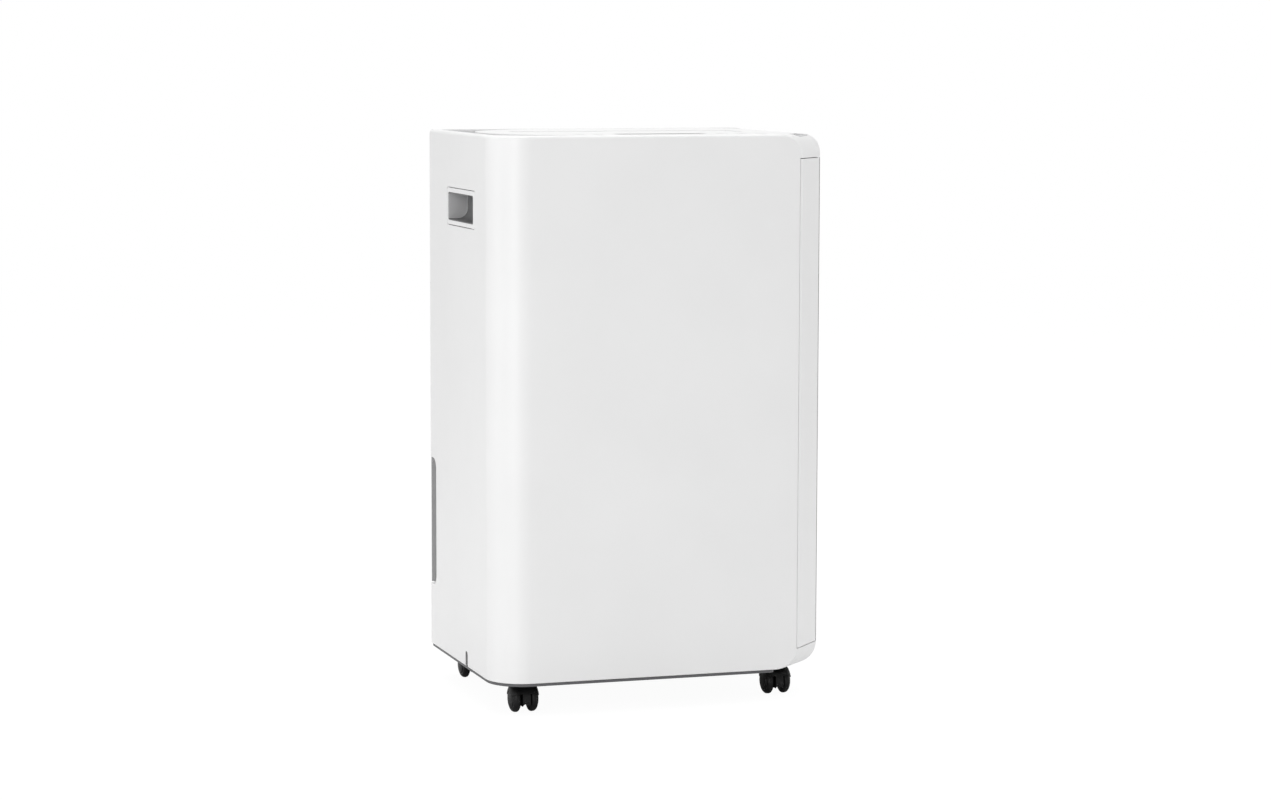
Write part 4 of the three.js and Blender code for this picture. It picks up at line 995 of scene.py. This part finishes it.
grip_x, grip_z = around(DRAIN[0], KNOB_GRIP["length"]), around(DRAIN[1], KNOB_GRIP["half"])
knob = knurled("drain_knob", KNOB_RADIUS, (knob_y[0], knob_y[1] - 1.8), DRAIN)
join(
    knob,
    cylinder("tool", "y", SPOUT_BORE - GAP, (SPOUT_END - 10, SPOUT_END + 2), DRAIN, 0.8),
    box("tool", grip_x, (knob_y[1] - 3, knob_y[1]), grip_z, 0.8),
)
finish(knob, "drain_plug", "black_plastic", ["drain_cap"], edge=0.2)

inlet_y = rear - COVER_WALL - GAP
inlet = turned("cord_inlet_gland", "y", [
    (9.9, inlet_y - 3), (10.5, inlet_y - 2.4), (10.5, inlet_y), (7.6, inlet_y), (7.6, rear - 1.6),
    (7.2, rear - 0.8), (6.2, rear - GAP),
], CORD_INLET)
cut(inlet, turned("tool", "y", [
    (4.5, inlet_y - 10), (4.5, rear - 1.8), (5.6, rear + 0.5),
], CORD_INLET))
finish(inlet, "cabinet", "black_plastic", ["cord_inlet"], edge=0.2)

# ---------------- water tank
TANK_FRONT = {"x": (4, 372), "y": (246, DEPTH), "z": (16, 229)}
TANK_FRONT_WALL, TANK_FRONT_RADIUS, GRIP_RECESS = 3, 10, 11
TANK = {"x": (22, 354), "y": (152, 271.4), "z": (20, 172)}
TANK_WALL, TANK_RADIUS = 2.2, 14
WINDOW = {"x": (176, 200), "z": (48, 160)}
LID_Z = (TANK["z"][1] + GAP, TANK["z"][1] + 3)
POUR_MOUTH = {"x": (40, 104), "y": (224, 260)}
DRIP = (186, 236)
HANDLE_PIVOT, HANDLE_PIN, HANDLE_REACH = (212, 181), 2, 44
EARS_X = ((86, 92), (280, 286))
ARMS_X = ((79.6, 85.6), (286.4, 292.4))
FLOAT_PIVOT, FLOAT_PIN = (214, 158), 1.5
FLOAT_LUGS_X = ((292, 296), (342, 346))
LUG_HALF, LUG_SUNK = 6, 1.6
BAIL_HALF, BAIL_WIDTH, PIN_LENGTH = 3.5, 10, 5.4


def grip_recesses(by):
    """The hollows at both ends of the tank's front, that the fingers reach into."""
    x, y = TANK_FRONT["x"], grow(TANK_FRONT["y"], PAST)
    reach = GRIP_RECESS + by
    spans = [(x[0] - PAST, x[0] + reach), (x[1] - reach, x[1] + PAST)]
    return [prism("tool", "y", rectangle(span, grow(GRIP_SLOT["z"], by), 3), y) for span in spans]


def window_outline(inset):
    x = grow(WINDOW["x"], -inset)
    return rectangle(x, grow(WINDOW["z"], -inset), (x[1] - x[0]) / 2 - 0.1)


front_x, front_y, front_z = TANK_FRONT["x"], TANK_FRONT["y"], TANK_FRONT["z"]
wall = TANK_FRONT_WALL
tank_front = prism(
    "tank_front_panel", "y", rectangle(front_x, front_z, TANK_FRONT_RADIUS), front_y, 0.4, 3,
    steps=8, rounds=5,
)
cut(tank_front, *grip_recesses(0))
hollow = prism(
    "tool", "y", rectangle(grow(front_x, -wall), grow(front_z, -wall), TANK_FRONT_RADIUS - wall),
    (front_y[0] - PAST, front_y[1] - wall), steps=8,
)
cut(hollow, *grip_recesses(wall))
cut(
    tank_front, hollow,
    prism("tool", "y", window_outline(0), around(rear, PAST), steps=10),
)

# A thin lip closes the view through each grip slot; its white plastic is coloured grey as painted
# shade.
GRIP_LIP_X, GRIP_LIP_THICK = (2, 15.4), 1.6
lip_z, lip_y = grow(GRIP_SLOT["z"], -0.3), (rear - GAP - GRIP_LIP_THICK, rear - GAP)
for side in ("left", "right"):
    grip = box(f"{side}_tank_grip", mirrored(GRIP_LIP_X, side), lip_y, lip_z, 0.6)
    finish(grip, "tank", "white_shell", [], edge=0)
    grip.data.materials[0] = GRIP_PAINTED_SHADE
finish(tank_front, "tank", "white_shell", ["tank_front"], edge=0.5)

window_y = (TANK["y"][1] + 0.5, rear - GAP)
window = prism("tank_level_window", "y", window_outline(GAP), window_y, 0, 0.8, steps=10)
finish(window, "tank", "tank_clear", ["tank_window"], edge=0)

inside_x, inside_y = grow(TANK["x"], -TANK_WALL), grow(TANK["y"], -TANK_WALL)
inside_z = (TANK["z"][0] + TANK_WALL, TANK["z"][1] + PAST)
tank_outside = rectangle(TANK["x"], TANK["y"], TANK_RADIUS)
tank_inside = rectangle(inside_x, inside_y, TANK_RADIUS - TANK_WALL)
bucket = prism("water_bucket", "z", tank_outside, TANK["z"], 6, 0.6, steps=8, rounds=4)
cut(bucket, prism("tool", "z", tank_inside, inside_z, 4, 0, steps=8, rounds=4))
finish(bucket, "tank", "tank_clear", ["water_tank"], edge=0.3)


def hang(spans, pivot, pin, z):
    """Lugs across a pin, and the tools for the pin's holes through them."""
    lugs = [box("tool", span, around(pivot[0], LUG_HALF), z, 1.2) for span in spans]
    holes = [cylinder("tool", "x", pin + 0.3, grow(span, 1), pivot, steps=20) for span in spans]
    return gather(*lugs), holes


through = grow(LID_Z, PAST)
lid = prism("tank_cover", "z", tank_outside, LID_Z, 0.4, 0.8, steps=8)
ear_z = (LID_Z[1] - LUG_SUNK, HANDLE_PIVOT[1] + LUG_HALF)
handle_lugs, handle_holes = hang(EARS_X, HANDLE_PIVOT, HANDLE_PIN, ear_z)
lug_z = (FLOAT_PIVOT[1] - LUG_HALF, LID_Z[0] + LUG_SUNK)
float_lugs, float_holes = hang(FLOAT_LUGS_X, FLOAT_PIVOT, FLOAT_PIN, lug_z)
cut(
    lid,
    prism("tool", "z", rectangle(POUR_MOUTH["x"], POUR_MOUTH["y"], 8), through),
    cylinder("tool", "z", 16, through, DRIP),
)
join(lid, handle_lugs, float_lugs)
cut(lid, *handle_holes, *float_holes)
finish(lid, "tank", "grey_plastic", ["tank_lid"], edge=0.3)

hinge_y, end = HANDLE_PIVOT[0], HANDLE_PIVOT[0] - HANDLE_REACH
inner = end + BAIL_WIDTH
(a0, a1), (b0, b1) = ARMS_X
bail = prism("carrying_handle", "z", [
    (a0, end, 6), (b1, end, 6), (b1, hinge_y, 0), (b0, hinge_y, 0),
    (b0, inner, 3), (a1, inner, 3), (a1, hinge_y, 0), (a0, hinge_y, 0),
], around(HANDLE_PIVOT[1], BAIL_HALF), 1.4, 1.4)
left, right = EARS_X[0][0] - 1, EARS_X[1][1] + 1
pins = [(left, left + PIN_LENGTH), (right - PIN_LENGTH, right)]
boss_radius, arms = BAIL_HALF + 0.3, [grow(span, 0.15) for span in ARMS_X]
join(
    bail,
    gather(*[cylinder("tool", "x", boss_radius, span, HANDLE_PIVOT, 0.5) for span in arms]),
    gather(*[cylinder("tool", "x", HANDLE_PIN, span, HANDLE_PIVOT) for span in pins]),
)
finish(bail, "bail", "grey_plastic", ["tank_handle"], edge=0.2)

float_y, float_z = FLOAT_PIVOT
bob_z = (float_z - 30, float_z - 12)
float_pin_x = grow((FLOAT_LUGS_X[0][0], FLOAT_LUGS_X[1][1]), -GAP)
bob = box("tank_float_bob", (299, 339), (float_y - 54, float_y - 14), bob_z, 3)
join(
    bob,
    box("tool", (312, 326), (float_y - 20, float_y + 2), (bob_z[1] - 6, float_z + 2), 1),
    cylinder("tool", "x", FLOAT_PIN, float_pin_x, FLOAT_PIVOT, 0.2),
)
finish(bob, "float", "white_shell", ["tank_float"], edge=0.3)

# ---------------- casters
FLOOR_GAP = 35
TRAIL = 8
WHEEL_RADIUS, WHEEL_INNER, WHEEL_TREAD, WHEEL_FLAT, WHEEL_OUTER = 14.6, 4.6, 8.2, 9.4, 15.6
WHEEL_FILLET, WHEEL_GROOVE, GROOVE_DEPTH = 7, (10.2, 11.4), 0.5
AXLE_HOLE, AXLE_END = 1.8, 13.9
FENDER_RADII, FENDER_ENDS, FENDER_ARC = (15.1, 16.4), (15.7, 16.2), (24, 156)
FENDER_STEPS, FENDER_POINTS = 22, 8
WEB_HALF, WEB_FOOT = 4.3, 10.6
STEM_FOOT, COLLAR = 28, (29.8, 31.2)  # heights above the floor
DOME_POWER = 2.4


def dome(radius, flat, end, steps=10, low=0.0):
    """Points (radius, x) from a flat rim over a full shoulder down towards the axle."""
    points = []
    for a in quarter(steps):
        r = radius * cos(a) ** (2 / DOME_POWER)
        points.append((max(r, low), flat + (end - flat) * sin(a) ** (2 / DOME_POWER)))
    return points


def caster_wheel(name, x, centre, out):
    hub, bulge = WHEEL_RADIUS - WHEEL_FILLET, WHEEL_TREAD - WHEEL_INNER
    profile = [(AXLE_HOLE, AXLE_END), (AXLE_HOLE, WHEEL_INNER), (hub, WHEEL_INNER)]
    for a in quarter(8)[1:]:
        profile.append((hub + sin(a) * WHEEL_FILLET, WHEEL_TREAD - bulge * cos(a)))
    for r, h in dome(WHEEL_RADIUS, WHEEL_FLAT, WHEEL_OUTER, 14, 0.4):
        sunk = GROOVE_DEPTH if WHEEL_GROOVE[0] < r < WHEEL_GROOVE[1] else 0
        profile.append((r - sunk, h - sunk))
    return turned(name, "x", [(r, x + out * h) for r, h in profile], centre, steps=64)


def fender_section():
    """The fender's closed section in (x, radius): a shell over both wheels, down at the sides."""
    inner, outer = FENDER_RADII
    over = dome(outer, WHEEL_FLAT, FENDER_ENDS[1])[:FENDER_POINTS]
    under = dome(inner, WHEEL_FLAT, FENDER_ENDS[0])[:FENDER_POINTS]
    right = [(h, r) for r, h in over] + [(h, r) for r, h in reversed(under)]
    return right + [(-h, r) for h, r in reversed(right)]


def caster_hood(name, place, direction):
    x, y = place
    centre = (y + direction * TRAIL, WHEEL_RADIUS - FLOOR_GAP)
    section = fender_section()
    rings = []
    start, end = FENDER_ARC
    for k in range(FENDER_STEPS + 1):
        a = radians(start + (end - start) * k / FENDER_STEPS)
        back, up = cos(a), sin(a)
        rings.append([(x + h, centre[0] + r * back, centre[1] + r * up) for h, r in section])
    fender = loft(name, rings)
    web = cylinder("tool", "x", FENDER_RADII[1] - 0.4, around(x, WEB_HALF), centre, steps=64)
    foot = WEB_FOOT - FLOOR_GAP
    below = prism("tool", "y", [
        (x - WEB_HALF, -2 * FLOOR_GAP, 0), (x + WEB_HALF, -2 * FLOOR_GAP, 0),
        (x + WEB_HALF, foot, WEB_HALF - 0.2), (x - WEB_HALF, foot, WEB_HALF - 0.2),
    ], around(y, 2 * FLOOR_GAP))
    cut(web, below)
    common(web, box("tool", around(x, 9), around(y, 40), (foot - 3, 0)))
    stem = cylinder("tool", "z", STEM_RADIUS, (STEM_FOOT - FLOOR_GAP, STEM_TOP), place, 1)
    collar_z = (COLLAR[0] - FLOOR_GAP, COLLAR[1] - FLOOR_GAP)
    join(stem, cylinder("tool", "z", STEM_RADIUS + STEM_BOSS, collar_z, place))
    spaces = [(x - FLOOR_GAP, x - WEB_HALF), (x + WEB_HALF, x + FLOOR_GAP)]
    cut(stem, *[cylinder("tool", "x", FENDER_RADII[0], span, centre) for span in spaces])
    join(fender, web, stem)
    cut(fender, cylinder("tool", "x", AXLE_HOLE, around(x, WEB_HALF + PAST), centre, steps=24))
    return fender, centre


# column, row, and the way the caster trails
CASTERS = {
    "front_left": (0, 0, -1), "front_right": (1, 0, 1),
    "rear_left": (0, 1, 1), "rear_right": (1, 1, 1),
}
for name, (column, row, direction) in CASTERS.items():
    place = (CASTER_X[column], CASTER_Y[row])
    hood, centre = caster_hood(f"{name}_caster_hood", place, direction)
    finish(hood, f"caster_{name}", "caster_black", [f"caster_{name}_hood"], edge=0.25)
    for side, out in (("left", -1), ("right", 1)):
        wheel = caster_wheel(f"{name}_wheel_{side}", place[0], centre, out)
        node = f"caster_{name}_wheel_{side}"
        finish(wheel, f"wheel_{name}_{side}", "caster_black", [node], edge=0)

# ---------------- finishes of the CAD nodes
slot_of = {row["node"]: row["material_slot"] for row in frame["record"]["subparts"]}
for name, node in frame["nodes"].items():
    for entry in node.material_slots:
        entry.material = SLOTS[slot_of[name]]


# ---------------- floor, light and camera
FLOOR_REACH = 6  # metres
FLOOR_GLOW, FLOOR_SHARE = 1.04, 0.92
WORLD_STRENGTH, BACKDROP_STRENGTH = 0.581, 1.0
reach = around(0, FLOOR_REACH)
stage_mesh = bpy.data.meshes.new("floor")
stage_mesh.from_pydata([(c[0], c[1], 0) for c in rectangle(reach, reach)], [], [(0, 1, 2, 3)])
floor = add_object("floor", stage_mesh)

# Floor and world are brighter to the camera than to the object, as pale as in the photo.
floor_material = moulded("studio_floor", (0.9, 0.9, 0.9), 0.8, grain=300)
tree = floor_material.node_tree
glow = add_node(tree, "Emission", Strength=FLOOR_GLOW)
seen = tree.nodes.new("ShaderNodeLightPath").outputs["Is Camera Ray"]
plain = tree.nodes["Principled BSDF"].outputs["BSDF"]
share = ranged(tree, seen, 0.0, FLOOR_SHARE)
seen_as(tree, share, plain, glow.outputs["Emission"], "Material Output")
floor.data.materials.append(floor_material)

world = bpy.data.worlds.new("studio")
world.use_nodes = True
tree = world.node_tree
sky = tree.nodes["Background"]
sky.inputs["Strength"].default_value = WORLD_STRENGTH
backdrop = add_node(tree, "Background", Strength=BACKDROP_STRENGTH)
for node in (sky, backdrop):
    node.inputs["Color"].default_value = (1, 1, 1, 1)
seen = tree.nodes.new("ShaderNodeLightPath").outputs["Is Camera Ray"]
plain, bright = sky.outputs["Background"], backdrop.outputs["Background"]
seen_as(tree, seen, plain, bright, "World Output")
bpy.context.scene.world = world
bpy.context.scene.view_settings.view_transform = "Standard"


def softbox(name, place, aim, size, power):
    light = bpy.data.lights.new(name, "AREA")
    light.shape = "RECTANGLE"
    light.size, light.size_y = size
    light.energy = power
    made = add_object(name, light)
    made.location = place
    made.rotation_mode = "QUATERNION"
    made.rotation_quaternion = (Vector(aim) - Vector(place)).to_track_quat("-Z", "Y")
    return made


softbox("overhead", (0, 0.2, 2.6), (0, 0, 0.3), (2.5, 2.5), 30.8)
softbox("left", (-3.0, 0, 1.0), (0, 0, 0.35), (1.0, 2.0), 7.5)
softbox("left_front", (-1.9, -2.3, 1.0), (0, 0, 0.35), (0.6, 2.0), 25.4)
softbox("right", (3.0, 0, 1.0), (0, 0, 0.35), (1.0, 2.0), 16.5)
softbox("behind", (0, 1.5, 2.4), (0, 0, 0.6), (1.4, 1.4), 8)

CAMERA_PLACE = (-1.12566, -3.49270, 0.71549)
CAMERA_AZIMUTH = 18.024
CAMERA_PITCH = 6.176
CAMERA_ROLL = 0.149
FOCAL_LENGTH = 94.99

a, p, r = (radians(v) for v in (CAMERA_AZIMUTH, CAMERA_PITCH, CAMERA_ROLL))
forward = Vector((sin(a) * cos(p), cos(a) * cos(p), -sin(p)))
level = Vector((cos(a), -sin(a), 0))
above = level.cross(forward)
right = level * cos(r) + above * sin(r)
upward = above * cos(r) - level * sin(r)
camera_data = bpy.data.cameras.new("camera")
camera_data.lens = FOCAL_LENGTH
camera = add_object("camera", camera_data)
turn = Matrix((right, upward, -forward)).transposed()
camera.matrix_world = Matrix.Translation(CAMERA_PLACE) @ turn.to_4x4()
bpy.context.scene.camera = camera
